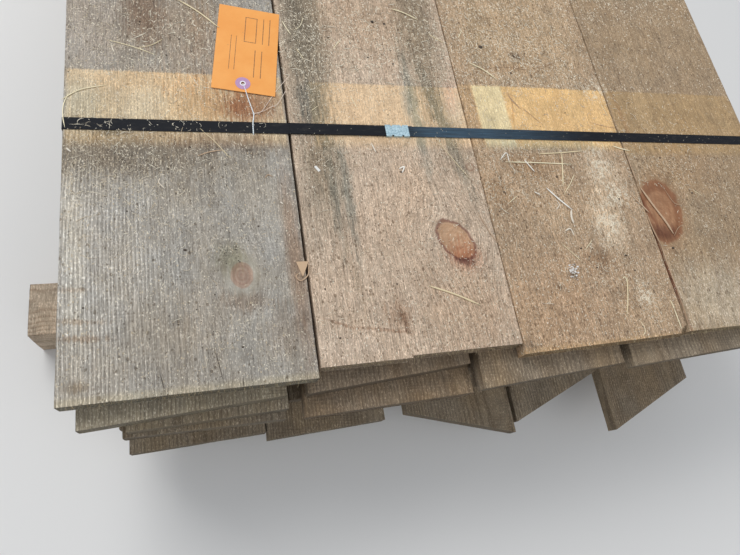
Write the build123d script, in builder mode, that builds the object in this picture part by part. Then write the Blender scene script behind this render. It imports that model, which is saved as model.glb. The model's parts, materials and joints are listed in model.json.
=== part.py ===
from build123d import *

import math
import os
from typing import NamedTuple

# A strapped bundle of rough-sawn pine boards, lying on three cross bearers.
# Millimetres. X runs across the boards, Y along them and Z up. The end that was looked at
# faces -Y. The origin is on the floor, under the middle of the whole bundle.

# Boards
board_thickness = 25.4
stock_length = 2438.0


class Board(NamedTuple):
    """One board of a layer.

    The gap is the space on its left: to the next board, or to the bundle's left side. Its
    near end is given at its left and right edges, as a distance behind the near end of
    the first board in the top layer, so that a negative one stands out to the viewer.
    """

    gap: float
    width: float
    near_left: float
    near_right: float


# From the top layer down, each from left to right
layers = [
    [
        Board(0.0, 305.0, 0.0, 0.0),
        Board(3.5, 298.0, 13.0, 13.5),
        Board(1.2, 298.8, 1.0, 6.0),
        Board(1.6, 304.9, 8.0, 8.0),
    ],
    [
        Board(17.0, 248.0, -25.0, -12.5),
        Board(27.0, 239.0, -14.5, 1.5),
        Board(13.0, 246.0, -37.0, -24.5),
        Board(16.5, 246.0, -32.0, -22.0),
        Board(7.5, 146.0, 5.0, 9.0),
    ],
    [
        Board(67.0, 202.0, -30.0, -26.0),
        Board(20.0, 249.0, -41.0, -37.0),
        Board(14.0, 252.0, -26.0, -20.0),
        Board(8.0, 200.0, 6.0, 11.0),
        Board(6.0, 184.0, 22.0, 18.0),
    ],
    [
        Board(60.0, 207.0, -34.0, -36.0),
        Board(6.0, 248.0, -12.0, -8.0),
        Board(6.0, 245.0, 4.0, 2.0),
        Board(6.0, 203.0, 14.0, 18.0),
        Board(6.0, 203.0, 9.0, 6.0),
    ],
    [
        Board(34.0, 203.0, -4.0, -8.0),
        Board(8.0, 246.0, 3.0, 3.0),
        Board(7.0, 203.0, 12.0, 8.0),
        Board(6.0, 249.0, 7.0, 10.0),
        Board(7.0, 228.0, 16.0, 16.0),
    ],
    [
        Board(12.0, 298.0, 9.0, 6.0),
        Board(6.0, 292.0, -3.0, 1.0),
        Board(6.0, 290.0, 18.0, 14.0),
        Board(5.0, 292.0, 11.0, 17.0),
    ],
    [
        Board(41.0, 246.0, 2.0, -3.0),
        Board(7.0, 203.0, 15.0, 12.0),
        Board(7.0, 248.0, 9.0, 13.0),
        Board(6.0, 203.0, 20.0, 16.0),
        Board(7.0, 229.0, 13.0, 12.0),
    ],
    [
        Board(20.0, 292.0, 11.0, 14.0),
        Board(6.0, 298.0, 4.0, 2.0),
        Board(6.0, 290.0, 17.0, 21.0),
        Board(6.0, 286.0, 10.0, 7.0),
    ],
    [
        Board(38.0, 203.0, -5.0, 0.0),
        Board(7.0, 228.0, 8.0, 5.0),
        Board(6.0, 249.0, 19.0, 23.0),
        Board(6.0, 203.0, 12.0, 12.0),
        Board(7.0, 246.0, 25.0, 21.0),
    ],
    [
        Board(48.5, 203.0, -40.0, -35.0),
        Board(1.0, 199.5, -47.0, -41.0),
        Board(40.0, 198.0, -35.0, -94.5),
        Board(7.0, 197.0, -77.0, -3.5),
        Board(4.0, 200.5, -118.5, -41.0),
    ],
]

# Cross bearers, under the boards
bearer_size = 89.0
bearer_length = 1422.0
bearer_overhang = 102.0
bearer_inset = 164.0

# Straps. The near one drifts towards the viewer on its way to the right.
strap_width = 19.0
strap_thickness = 0.9
strap_inset = 383.0
strap_drift = 12.0
strap_overlap_start = 308.0
strap_overlap_tail = 7.0

# Seals, crimped over a strap's two ends
seal_start = 459.5
seal_length = 39.0
seal_sheet = 0.8
seal_clearance = 0.1
seal_lip_gap = 3.0
crimp_inset = 11.0
crimp_length = 3.2
crimp_depth = 2.2

# Tag, lying on the boards. Its place is that of its near left corner: from the bundle's
# left side, and beyond the near strap's line.
tag_width = 95.0
tag_length = 168.0
tag_thickness = 0.4
tag_turn = 8.0
tag_left = 197.7
tag_beyond_strap = 67.7
tag_lift = 1.3
tag_hole_across = 45.5
tag_hole_inset = 16.0
tag_hole_size = 5.6
ring_size = 22.5
ring_thickness = 0.3

# Tie wire, folded through the tag, twisted to a knot and looped round the strap. The knot
# and the free ends are given by their distance from the bundle's left side, their distance
# beyond the near strap's line, and for the ends their height above the boards.
wire_size = 0.5
wire_twist_size = 1.8
wire_knot_size = 2.4
wire_bend = 0.4
wire_end_bend = 6.0
wire_clearance = 0.05
wire_knot = (256.5, 22.2)
wire_strap_x = 253.2
wire_strap_reach = 1.0
wire_twist_gap = 4.0
wire_ends = [
    [(267.5, 26.0, 0.4), (282.0, 46.5, 0.4), (297.0, 69.0, 0.9), (318.0, 95.0, 2.4)],
    [(272.5, 28.0, 1.6), (283.5, 35.0, 1.8), (294.0, 41.0, 1.6), (309.0, 65.5, 2.0)],
]

# Worked out from the sizes above
layer_widths = [sum(board.gap + board.width for board in layer) for layer in layers]
near_ends = [end for layer in layers for board in layer for end in (board.near_left, board.near_right)]
stack_width = max(layer_widths)
stack_top = bearer_size + board_thickness * len(layers)
left_side = bearer_overhang - bearer_length / 2
near_side = -(min(near_ends) + max(near_ends) + stock_length) / 2


def across(distance):
    """X of a point that lies this far from the bundle's left side."""
    return left_side + distance


def along(distance):
    """Y of a point that lies this far behind the near end of the first top board."""
    return near_side + distance


def beyond_strap(distance):
    """Y of a point that lies this far beyond the near strap's line."""
    return along(strap_inset + distance)


os.makedirs("parts", exist_ok=True)


def write(piece, name):
    """Labels a finished piece and writes it under the same name."""
    piece.part.label = name
    export_step(piece.part, f"parts/{name}.step")


def make_board(board, left_edge, underside):
    """One board, whose near and far ends run at the same slant."""
    right_edge = left_edge + board.width
    corners = [
        (across(left_edge), along(board.near_left)),
        (across(right_edge), along(board.near_right)),
        (across(right_edge), along(board.near_right + stock_length)),
        (across(left_edge), along(board.near_left + stock_length)),
    ]
    with BuildPart() as plank:
        with BuildSketch(Plane.XY.offset(underside)):
            with BuildLine():
                Polyline(*corners, close=True)
            make_face()
        extrude(amount=board_thickness)
    return plank


def make_bearer(middle):
    """One square cross bearer, its middle line this far along the bundle."""
    with BuildPart() as bearer:
        with BuildSketch(Plane.XY):
            with Locations((0, middle)):
                Rectangle(bearer_length, bearer_size)
        extrude(amount=bearer_size)
    return bearer


def strap_plane(drift, middle):
    """Upright plane through a strap, starting at the bundle's left side."""
    return Plane(
        origin=(across(0), middle, 0),
        x_dir=(stack_width, -drift, 0),
        z_dir=(-drift, -stack_width, 0),
    )


def wrapped_stack(drift, wire_under, distance):
    """Tight outline round the boards, the seal and a wire under the strap, this far outside."""
    stretch = math.hypot(stack_width, drift) / stack_width
    with BuildSketch() as outline:
        for layer_number, (layer, right_edge) in enumerate(zip(layers, layer_widths)):
            left_edge = layer[0].gap
            middle = (left_edge + right_edge) / 2
            height = stack_top - (layer_number + 0.5) * board_thickness
            with Locations((middle * stretch, height)):
                Rectangle((right_edge - left_edge) * stretch, board_thickness)
        with Locations(((seal_start + seal_length / 2) * stretch, stack_top)):
            Rectangle(seal_length * stretch, 2 * seal_sheet)
        if wire_under:
            with Locations((wire_strap_x * stretch, stack_top)):
                Rectangle(wire_size, 2 * (wire_size + wire_clearance))
        make_hull()
        if distance:
            offset(amount=distance, kind=Kind.ARC)
    return outline.sketch


def strap_line(drift, middle, distance):
    """Y of a strap's middle line, this far from the bundle's left side."""
    return middle - drift * distance / stack_width


def crimps(drift, middle):
    """Places of the notches that are crimped into both edges of a seal."""
    half_width = strap_width / 2 + seal_clearance + seal_sheet
    for distance in (seal_start + crimp_inset, seal_start + seal_length - crimp_inset):
        for side in (-1, 1):
            yield (across(distance), strap_line(drift, middle, distance) + side * half_width, stack_top)


def make_strap(drift, middle, wire_under):
    """A strap pulled tight round the boards, doubled where its two ends overlap."""
    plane = strap_plane(drift, middle)
    inside = wrapped_stack(drift, wire_under, 0)
    outside = wrapped_stack(drift, wire_under, strap_thickness)
    doubled = wrapped_stack(drift, wire_under, 2 * strap_thickness)
    overlap_end = seal_start + seal_length + strap_overlap_tail
    overlap_middle = (strap_overlap_start + overlap_end) / 2
    with BuildPart() as strap:
        with BuildSketch(plane):
            add(outside)
            add(inside, mode=Mode.SUBTRACT)
        extrude(amount=strap_width / 2, dir=(0, 1, 0), both=True)
        with BuildSketch(plane):
            add(doubled)
            with Locations((overlap_middle, stack_top)):
                Rectangle(overlap_end - strap_overlap_start, board_thickness, mode=Mode.INTERSECT)
            add(outside, mode=Mode.SUBTRACT)
        extrude(amount=strap_width / 2, dir=(0, 1, 0), both=True)
        with Locations(*crimps(drift, middle)):
            Box(crimp_length, 2 * crimp_depth, board_thickness, mode=Mode.SUBTRACT)
    return strap


def make_seal(drift, middle):
    """A sheet steel sleeve folded round the doubled strap, with its lips underneath."""
    inner_height = 2 * strap_thickness + seal_clearance
    inner_width = strap_width + 2 * seal_clearance
    outer_height = inner_height + 2 * seal_sheet
    outer_width = inner_width + 2 * seal_sheet
    start = across(seal_start)
    start_line = strap_line(drift, middle, seal_start)
    with BuildPart() as seal:
        with BuildSketch(Plane.YZ.offset(start)):
            with Locations((start_line, stack_top + outer_height / 2)):
                Rectangle(outer_width, outer_height)
                Rectangle(inner_width, inner_height, mode=Mode.SUBTRACT)
            with Locations((start_line, stack_top)):
                Rectangle(seal_lip_gap, 2 * seal_sheet, mode=Mode.SUBTRACT)
        extrude(amount=seal_length, dir=(stack_width, -drift, 0))
        with Locations(*crimps(drift, middle)):
            Box(crimp_length, 2 * crimp_depth, board_thickness, mode=Mode.SUBTRACT)
    return seal


def tag_plane():
    """Plane of the tag's underside, lifted at its near end and down at its far end."""
    turn = math.radians(tag_turn)
    dip = math.asin(tag_lift / tag_length)
    sideways = Vector(math.cos(turn), -math.sin(turn), 0)
    lengthways = Vector(
        math.sin(turn) * math.cos(dip),
        math.cos(turn) * math.cos(dip),
        -math.sin(dip),
    )
    corner = (across(tag_left), beyond_strap(tag_beyond_strap), stack_top + tag_lift)
    return Plane(origin=corner, x_dir=sideways, z_dir=sideways.cross(lengthways))


def make_tag():
    """A stiff card with one punched hole."""
    with BuildPart() as tag:
        with BuildSketch(tag_plane()):
            Rectangle(tag_width, tag_length, align=(Align.MIN, Align.MIN))
            with Locations((tag_hole_across, tag_hole_inset)):
                Circle(tag_hole_size / 2, mode=Mode.SUBTRACT)
        extrude(amount=tag_thickness)
    return tag


def make_tag_ring():
    """The round patch that stiffens the tag's hole."""
    with BuildPart() as ring:
        with BuildSketch(tag_plane().offset(tag_thickness)):
            with Locations((tag_hole_across, tag_hole_inset)):
                Circle(ring_size / 2)
                Circle(tag_hole_size / 2, mode=Mode.SUBTRACT)
        extrude(amount=ring_thickness)
    return ring


def add_wire(points, size, bend):
    """Adds a wire of this size to the part, in straight runs joined by bends."""
    with BuildLine() as route:
        if len(points) > 2:
            FilletPolyline(*points, radius=bend)
        else:
            Line(*points)
    path = route.wire()
    with BuildSketch(Plane(origin=path @ 0, z_dir=path % 0)) as section:
        Circle(size / 2)
    sweep(section.sketch, path=path)


def make_tag_wire():
    """The tie wire: a fold through the tag, a twist, a loop round the strap, two free ends."""
    radius = wire_size / 2
    lowest = stack_top + wire_clearance / 2
    knot = Vector(across(wire_knot[0]), beyond_strap(wire_knot[1]), lowest + wire_knot_size / 2)

    hole = tag_plane().from_local_coords((tag_hole_across, tag_hole_inset, 0))
    to_hole = Vector(hole.X - knot.X, hole.Y - knot.Y, 0).normalized()
    twist_end = Vector(hole.X, hole.Y, lowest + wire_twist_size / 2)
    twist_end -= to_hole * (tag_hole_inset + wire_twist_gap)
    over_edge = twist_end + to_hole * (wire_twist_gap - 2 * wire_size)
    over_edge.Z = stack_top + tag_lift + tag_thickness + wire_clearance + wire_size
    over_ring = hole + Vector(0, 0, tag_thickness + ring_thickness + wire_clearance + radius)
    under_tag = hole - Vector(0, 0, wire_clearance + radius)

    strap_y = strap_line(strap_drift, along(strap_inset), wire_strap_x)
    to_strap = Vector(across(wire_strap_x) - knot.X, strap_y - knot.Y, 0)
    over_strap = lowest + wire_size + strap_thickness + 2 * wire_clearance + radius
    under_strap = lowest + radius

    def beside_strap(side, height):
        """A point of the loop beyond one edge of the strap."""
        line = strap_y + side * (strap_width / 2 + wire_strap_reach)
        share = (line - knot.Y) / to_strap.Y
        return Vector(knot.X + to_strap.X * share, line, height)

    lay = Vector(0, 0, (wire_size + wire_clearance) / 2)
    with BuildPart() as wire:
        with Locations(knot):
            Sphere(wire_knot_size / 2)
        add_wire([knot, twist_end], wire_twist_size, wire_bend)
        fold_start = twist_end - to_hole * wire_twist_size
        add_wire(
            [fold_start + lay, over_edge, over_ring, under_tag, fold_start - lay],
            wire_size,
            wire_bend,
        )
        add_wire(
            [
                knot + lay,
                beside_strap(1, over_strap),
                beside_strap(-1, over_strap),
                beside_strap(-1, under_strap),
                beside_strap(1, under_strap),
                knot - lay,
            ],
            wire_size,
            wire_bend,
        )
        for side, end in zip((1, -1), wire_ends):
            start = knot - lay * side
            points = [Vector(across(x), beyond_strap(y), stack_top + height) for x, y, height in end]
            add_wire([start, *points], wire_size, wire_end_bend)
    return wire


for layer_number, layer in enumerate(layers, start=1):
    left_edge = 0.0
    for board_number, board in enumerate(layer, start=1):
        left_edge += board.gap
        underside = stack_top - layer_number * board_thickness
        plank = make_board(board, left_edge, underside)
        write(plank, f"layer_{layer_number:02d}_board_{board_number}")
        left_edge += board.width

bearer_row = along(bearer_inset + bearer_size / 2)
bearer_lines = {"near": bearer_row, "middle": 0.0, "far": -bearer_row}
for place, middle in bearer_lines.items():
    write(make_bearer(middle), f"bearer_{place}")

near_strap_line = along(strap_inset)
write(make_strap(strap_drift, near_strap_line, True), "strap_near")
write(make_strap(0, -near_strap_line, False), "strap_far")
write(make_seal(strap_drift, near_strap_line), "seal_near")
write(make_seal(0, -near_strap_line), "seal_far")
write(make_tag(), "tag")
write(make_tag_ring(), "tag_ring")
write(make_tag_wire(), "tag_wire")
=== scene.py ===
# %% [markdown]
# # A strapped bundle of sawn pine boards
# The solid model of the bundle comes in as a fixed frame, in metres. Nothing here moves or
# resizes it. Each cell adds one piece or one finish, says what it is on the real object,
# and prints what it made.

import json
import math

import bpy
import numpy as np
from mathutils import Matrix, Vector
from mathutils.bvhtree import BVHTree

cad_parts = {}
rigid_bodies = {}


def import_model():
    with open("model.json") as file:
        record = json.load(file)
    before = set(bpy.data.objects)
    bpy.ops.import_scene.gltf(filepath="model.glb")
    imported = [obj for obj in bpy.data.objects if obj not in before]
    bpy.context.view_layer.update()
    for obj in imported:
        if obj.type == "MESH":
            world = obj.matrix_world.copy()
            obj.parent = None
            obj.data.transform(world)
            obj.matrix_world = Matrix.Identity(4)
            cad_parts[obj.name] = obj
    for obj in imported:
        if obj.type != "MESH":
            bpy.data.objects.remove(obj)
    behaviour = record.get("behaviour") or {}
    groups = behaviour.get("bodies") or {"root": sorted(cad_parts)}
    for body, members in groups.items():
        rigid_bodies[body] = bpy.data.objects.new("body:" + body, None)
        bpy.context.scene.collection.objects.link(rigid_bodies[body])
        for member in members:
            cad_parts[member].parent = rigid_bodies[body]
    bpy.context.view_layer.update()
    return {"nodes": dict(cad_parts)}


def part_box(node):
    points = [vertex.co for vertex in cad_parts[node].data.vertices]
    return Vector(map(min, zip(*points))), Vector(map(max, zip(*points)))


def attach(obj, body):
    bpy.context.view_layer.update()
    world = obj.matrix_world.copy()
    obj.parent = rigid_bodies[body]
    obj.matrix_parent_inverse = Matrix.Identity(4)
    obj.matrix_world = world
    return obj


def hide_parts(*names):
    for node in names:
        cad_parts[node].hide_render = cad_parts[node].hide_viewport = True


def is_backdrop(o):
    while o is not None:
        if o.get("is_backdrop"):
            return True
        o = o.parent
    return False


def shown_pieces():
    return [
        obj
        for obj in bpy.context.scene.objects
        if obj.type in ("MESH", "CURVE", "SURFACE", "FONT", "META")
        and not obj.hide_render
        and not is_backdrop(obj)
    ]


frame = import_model()
MM = 0.001
print("frame loaded with", len(frame["nodes"]), "nodes")

# %% [markdown]
# ## Places on the boards
# Everything is measured from one corner: the near left top corner of the first top board.
# Sizes that come from a tape measure are in millimetres, and `place` turns them into the
# frame's metres. The top of the boards is the level that the strap, the tag and the dirt
# lie on.

# %% The measuring corner
first_low, first_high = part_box("layer_01_board_1")
corner = Vector((first_low.x, first_low.y, first_high.z))
stack_top = first_high.z


def place(right, back, up=0.0):
    """Point in the frame, from millimetres right of, behind and above the corner."""
    return corner + Vector((right, back, up)) * MM


print("corner", tuple(round(v, 4) for v in corner))

# %% [markdown]
# ## Camera
# The photograph looks steeply down on the near end. The lens, the standpoint and the tilt
# were worked out from the board edges: parallel edges meet at a vanishing point, and the
# boards' equal widths fix the rest. Setting the camera first means that every later piece
# can be checked against the photograph.

# %% Make the camera
FRAME_WIDTH, FRAME_HEIGHT = 740, 555
FOCAL_PIXELS = 556.0
SENSOR_MM = 36.0
camera_place = place(169.5, -126.8, 702.2)
camera_aim = place(394.0, 133.4)
camera_up = Vector((0.0594, 0.9296, 0.3635))

forward = (camera_aim - camera_place).normalized()
sideways = forward.cross(camera_up).normalized()
upward = sideways.cross(forward)
camera_data = bpy.data.cameras.new("camera")
camera_data.sensor_width = SENSOR_MM
camera_data.lens = SENSOR_MM * FOCAL_PIXELS / FRAME_WIDTH
camera_data.clip_start, camera_data.clip_end = 0.01, 50
camera = bpy.data.objects.new("camera", camera_data)
camera.matrix_world = Matrix.Translation(camera_place) @ Matrix(
    (sideways, upward, -forward)
).transposed().to_4x4()
bpy.context.scene.collection.objects.link(camera)
bpy.context.scene.camera = camera
print("lens", round(camera_data.lens, 2), "mm")


def on_boards(pixel_x, pixel_y):
    """Millimetres right of and behind the corner, on the boards' top, under a photo pixel."""
    ray = (
        forward * FOCAL_PIXELS
        + sideways * (pixel_x - FRAME_WIDTH / 2)
        - upward * (pixel_y - FRAME_HEIGHT / 2)
    )
    spot = camera_place + ray * ((stack_top - camera_place.z) / ray.z) - corner
    return spot.x / MM, spot.y / MM


print("the knot of the second board is at", [round(v) for v in on_boards(456, 240)])

# %% [markdown]
# ## Building node trees
# A material is a small network. These helpers add one node each and plug its inputs, so
# that the finishes below read like sums. An input is either a number, a colour or another
# node's socket.


# %% Helpers: one node at a time
def connect(tree, value, socket):
    """Plugs a socket into an input, or sets it to a number, a vector or an opaque colour."""
    if isinstance(value, bpy.types.NodeSocket):
        tree.links.new(value, socket)
    elif value is not None:
        opaque = socket.type == "RGBA" and len(value) == 3
        socket.default_value = (*value, 1.0) if opaque else value


def add_node(tree, kind, inputs, output=0, **settings):
    """A node of this kind, its inputs given by name or number. Returns one output."""
    node = tree.nodes.new(kind)
    for key, value in settings.items():
        setattr(node, key, value)
    for key, value in inputs.items():
        connect(tree, value, node.inputs[key])
    return node.outputs[output]


def calc(tree, operation, a, b=None, c=None, clamp=False):
    """Arithmetic on numbers."""
    inputs = {0: a, 1: b, 2: c}
    return add_node(tree, "ShaderNodeMath", inputs, operation=operation, use_clamp=clamp)


def times(tree, a, b, clamp=False):
    """a times b."""
    return calc(tree, "MULTIPLY", a, b, clamp=clamp)


def times_plus(tree, a, b, c):
    """a times b, plus c."""
    return calc(tree, "MULTIPLY_ADD", a, b, c)


def vector_calc(tree, operation, a, b=None, output=0):
    """Arithmetic on vectors. Lengths and dot products come out of output 1."""
    return add_node(tree, "ShaderNodeVectorMath", {0: a, 1: b}, output, operation=operation)


def stretch(tree, vector, x, y, z):
    """A vector with each part multiplied by its own factor."""
    return vector_calc(tree, "MULTIPLY", vector, (x, y, z))


def scaled(tree, vector, factor):
    """A vector or a colour with all its parts multiplied by one factor."""
    inputs = {0: vector, "Scale": factor}
    return add_node(tree, "ShaderNodeVectorMath", inputs, operation="SCALE")


def split(tree, vector):
    """The three parts of a vector."""
    node = tree.nodes.new("ShaderNodeSeparateXYZ")
    connect(tree, vector, node.inputs[0])
    return node.outputs


print("arithmetic helpers ready")

# %% [markdown]
# Colours and noise come next. An image of wood would repeat and blur. Noise worked out from
# the place has its own detail everywhere, and each strength stays a number to turn. `ramp`
# makes a mask out of a cloudy value, and `mix` lays a colour over it.


# %% Helpers: colours, ramps and noise
def stored(tree, name):
    """A number that each point of the mesh carries."""
    return add_node(tree, "ShaderNodeAttribute", {}, "Fac", attribute_name=name)


def mix(tree, share, a, b, blend="MIX"):
    """Colour a turned into colour b by a share from 0 to 1."""
    inputs = {0: share, 6: a, 7: b}
    return add_node(tree, "ShaderNodeMix", inputs, 2, data_type="RGBA", blend_type=blend)


def ramp(tree, value, low, high, to_low=0.0, to_high=1.0, smooth=True):
    """A value's run from low to high turned into a run between two other values."""
    inputs = {0: value, 1: low, 2: high, 3: to_low, 4: to_high}
    kind = "SMOOTHSTEP" if smooth else "LINEAR"
    return add_node(tree, "ShaderNodeMapRange", inputs, interpolation_type=kind)


def between(tree, value, rise, fall):
    """1 between two soft edges. Each edge is given by its outer and its inner value."""
    return times(tree, ramp(tree, value, *rise), ramp(tree, value, *fall))


def noise(tree, vector, scale, detail=2, rough=0.5):
    """Cloudy noise round 0.5. A scale of three numbers stretches it along each axis."""
    if isinstance(scale, tuple):
        vector, scale = stretch(tree, vector, *scale), 1.0
    inputs = {"Vector": vector, "Scale": scale, "Detail": detail, "Roughness": rough}
    return add_node(tree, "ShaderNodeTexNoise", inputs)


print("colour helpers ready")

# %% [markdown]
# A finish that several pieces share is a node group: it is built once, and each material
# sets its named inputs. Copied nodes would look the same, but a change would then have to
# be made in every copy. The shader itself stays in the material.


# %% Helpers: groups and materials
def new_group(name, inputs, outputs):
    """An empty node group with named inputs, each with a default, and named outputs."""
    tree = bpy.data.node_groups.new(name, "ShaderNodeTree")
    kinds = {float: "NodeSocketFloat", 3: "NodeSocketVector", 4: "NodeSocketColor"}
    for title, default in inputs.items():
        kind = kinds[float if isinstance(default, float) else len(default)]
        socket = tree.interface.new_socket(title, in_out="INPUT", socket_type=kind)
        socket.default_value = default
    for title, kind in outputs.items():
        tree.interface.new_socket(title, in_out="OUTPUT", socket_type=kinds[kind])
    given = tree.nodes.new("NodeGroupInput").outputs
    results = tree.nodes.new("NodeGroupOutput").inputs
    return tree, given, results


def use_group(tree, group, inputs):
    """Places a group and plugs its named inputs. Returns its outputs."""
    node = tree.nodes.new("ShaderNodeGroup")
    node.node_tree = group
    for title, value in inputs.items():
        connect(tree, value, node.inputs[title])
    return node.outputs


def new_material(name):
    """An empty node material: its tree and its Principled shader."""
    material = bpy.data.materials.new(name)
    material.use_nodes = True
    tree = material.node_tree
    return material, tree, tree.nodes["Principled BSDF"]


def finish(tree, shader, colour, roughness, height, bump):
    """Plugs a colour, a roughness, and a height whose unit is this many metres deep."""
    connect(tree, colour, shader.inputs["Base Color"])
    connect(tree, roughness, shader.inputs["Roughness"])
    relief = add_node(tree, "ShaderNodeBump", {"Height": height, "Distance": bump})
    connect(tree, relief, shader.inputs["Normal"])


def spot_vector(pixel_x, pixel_y):
    """The place under a photo pixel as a node vector, in millimetres."""
    return (*on_boards(pixel_x, pixel_y), 0.0)


print("group helpers ready")

# %% [markdown]
# ## Tape measure group
# The finishes of the boards need to know where they are: a stain or a knot sits at one
# place. This group turns the frame's coordinates into millimetres from the corner. All
# pieces sit at the origin unturned, so object coordinates are the frame's own.

# %% Group: millimetres from the corner
tape_group, given, results = new_group("tape_measure", {}, {"Place": 3})
tree = tape_group
texture_place = add_node(tree, "ShaderNodeTexCoord", {}, "Object")
from_corner = vector_calc(tree, "SUBTRACT", texture_place, tuple(corner))
connect(tree, stretch(tree, from_corner, 1 / MM, 1 / MM, 1 / MM), results["Place"])


def tape(tree):
    """The place in millimetres from the corner."""
    return use_group(tree, tape_group, {})["Place"]


print("group", tape_group.name)

# %% [markdown]
# ## Knot group
# A knot is a branch cut across: an oval with its own rings, a dark bark line round it, and
# board grain that flows past on both sides. The group measures how far a point is from the
# oval, where 1 is the oval's edge, and how far the grain is pushed aside, which a disc
# laid on the board couldn't do. The materials choose the colours.

# %% Group: a knot's shape
ORIGIN = (0.0, 0.0, 0.0)
OVAL_INPUTS = {
    "Place": ORIGIN, "Centre": ORIGIN, "Half Width": 12.0, "Half Length": 14.0, "Turn": 0.0,
}


def off_centre(tree, given):
    """How far Place is from Centre, flat on the board and turned by Turn."""
    offset = vector_calc(tree, "SUBTRACT", given["Place"], given["Centre"])
    inputs = {"Vector": stretch(tree, offset, 1, 1, 0), "Angle": given["Turn"]}
    return add_node(tree, "ShaderNodeVectorRotate", inputs, rotation_type="Z_AXIS")


knot_group, given, results = new_group(
    "knot_shape", OVAL_INPUTS, {"Distance": float, "Push": float, "Rings": float}
)
tree = knot_group
parts = split(tree, off_centre(tree, given))
oval_x = calc(tree, "DIVIDE", parts[0], given["Half Width"])
oval_y = calc(tree, "DIVIDE", parts[1], given["Half Length"])
squares = times_plus(tree, oval_x, oval_x, times(tree, oval_y, oval_y))
uneven = times_plus(tree, noise(tree, given["Place"], 0.07), 0.26, -0.13)
distance = calc(tree, "ADD", calc(tree, "SQRT", squares), uneven)
connect(tree, distance, results["Distance"])
reach = calc(tree, "POWER", math.e, times(tree, squares, -0.22))
connect(tree, times(tree, times(tree, parts[0], reach), -0.82), results["Push"])
ring_wave = calc(tree, "SINE", times(tree, distance, 19.0))
connect(tree, times_plus(tree, ring_wave, 0.5, 0.5), results["Rings"])
print("group", knot_group.name)

# %% [markdown]
# ## Pine grain group
# Pine grows a pale soft band in spring and a thin dark hard band in summer. A sawn board
# cuts the nested cones of those bands: long lines on the face, arcs on the end. Each board
# mesh carries its distance from the heart of its own log, so the lines on its face and end
# join up. Fine fibres, broad colour streaks and the fuzz of a rough saw come on top. `Calm`
# smooths the fuzz away, as on a knot or on wood that lay covered.

# %% Group: pine grain
LOG_SHIFT = 900.0
FLECK_SHADE = (0.86, 0.78, 0.66)
END_GRAIN_AND_PAINTED_SHADE = (0.40, 0.39, 0.33)
pine_group, given, results = new_group(
    "pine_grain",
    {"Place": ORIGIN, "Push": 0.0, "Spacing": 5.0, "Contrast": 0.5, "Fuzz": 1.0, "Calm": 0.0,
     "Pale": (0.5, 0.4, 0.3, 1.0), "Dark": (0.3, 0.2, 0.1, 1.0), "End Dark": 0.55},
    {"Colour": 4, "Height": float, "Late": float, "End": float},
)
tree = pine_group
radius, end, tone = (stored(tree, name) for name in ("ring_radius", "end_grain", "tone"))
shift_inputs = {0: given["Push"], 2: times(tree, tone, LOG_SHIFT)}
shift = add_node(tree, "ShaderNodeCombineXYZ", shift_inputs)
on_log = vector_calc(tree, "ADD", given["Place"], shift)
fibre = noise(tree, on_log, (0.85, 0.05, 0.85), 4, 0.62)
fuzz = noise(tree, on_log, (0.66, 0.24, 0.66), 3, 0.72)
broad = noise(tree, on_log, (0.035, 0.0035, 0.05), 3)
wander = times_plus(tree, noise(tree, on_log, (0.03, 0.004, 0.03)), 7.0, given["Push"])
rings = calc(tree, "DIVIDE", calc(tree, "ADD", radius, wander), given["Spacing"])
phase = calc(tree, "FRACT", times_plus(tree, fibre, 0.3, rings))
late = calc(tree, "SUBTRACT", ramp(tree, phase, 0.3, 0.8), ramp(tree, phase, 0.85, 1.0))
share = times(tree, late, given["Contrast"])
share = calc(tree, "ADD", share, times_plus(tree, broad, 1.1, -0.5), clamp=True)
colour = mix(tree, share, given["Pale"], given["Dark"])
fibre_light = ramp(tree, fibre, 0.34, 0.66, -0.24, 0.26, smooth=False)
fuzz_light = ramp(tree, fuzz, 0.52, 0.67, -0.12, 0.50)
fuzz_gain = times(tree, given["Fuzz"], times_plus(tree, given["Calm"], -0.75, 1.0))
light = calc(tree, "ADD", fibre_light, fuzz_light)
colour = scaled(tree, colour, times_plus(tree, light, fuzz_gain, 1.0))
fleck_share = times(tree, ramp(tree, fuzz, 0.55, 0.67, 0.0, 0.26), fuzz_gain)
colour = mix(tree, fleck_share, colour, FLECK_SHADE)
# The ends are darkened: end grain's own darker colour, with painted shade on top.
end_share = times(tree, end, given["End Dark"], clamp=True)
end_colour = vector_calc(tree, "MULTIPLY", colour, END_GRAIN_AND_PAINTED_SHADE)
connect(tree, mix(tree, end_share, colour, end_colour), results["Colour"])
height = times_plus(tree, late, 0.3, times_plus(tree, fuzz, 1.5, fibre))
connect(tree, height, results["Height"])
connect(tree, late, results["Late"])
connect(tree, end, results["End"])
print("group", pine_group.name)

# %% [markdown]
# ## Sun and rain group
# Boards that lie outdoors turn grey: sun bleaches the surface and rain washes the brown
# out. The change is uneven, stronger on raised grain, and the sawn fuzz catches dust. The
# group pulls a colour towards a grey of the same lightness and lets cloudy dirt darken it.

# %% Group: weathering
DIRT_SHADE = (0.13, 0.095, 0.06)
weather_group, given, results = new_group(
    "sun_and_rain",
    {"Colour": (0.5, 0.4, 0.3, 1.0), "Place": ORIGIN, "Grey": 0.3, "Dirt": 0.3,
     "Silver": (1.0, 0.95, 0.86, 1.0)},
    {"Colour": 4},
)
tree = weather_group
patches = noise(tree, given["Place"], (0.016, 0.009, 0.02), 4, 0.6)
grey_share = times(tree, given["Grey"], ramp(tree, patches, 0.3, 0.68, 0.45, 1.35), clamp=True)
lightness = add_node(tree, "ShaderNodeRGBToBW", {0: given["Colour"]})
bleached = scaled(tree, given["Silver"], times(tree, lightness, 1.08))
washed = mix(tree, grey_share, given["Colour"], bleached)
smudges = noise(tree, given["Place"], (0.03, 0.02, 0.03), 5, 0.65)
dirt_share = times(tree, given["Dirt"], ramp(tree, smudges, 0.42, 0.72), clamp=True)
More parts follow.
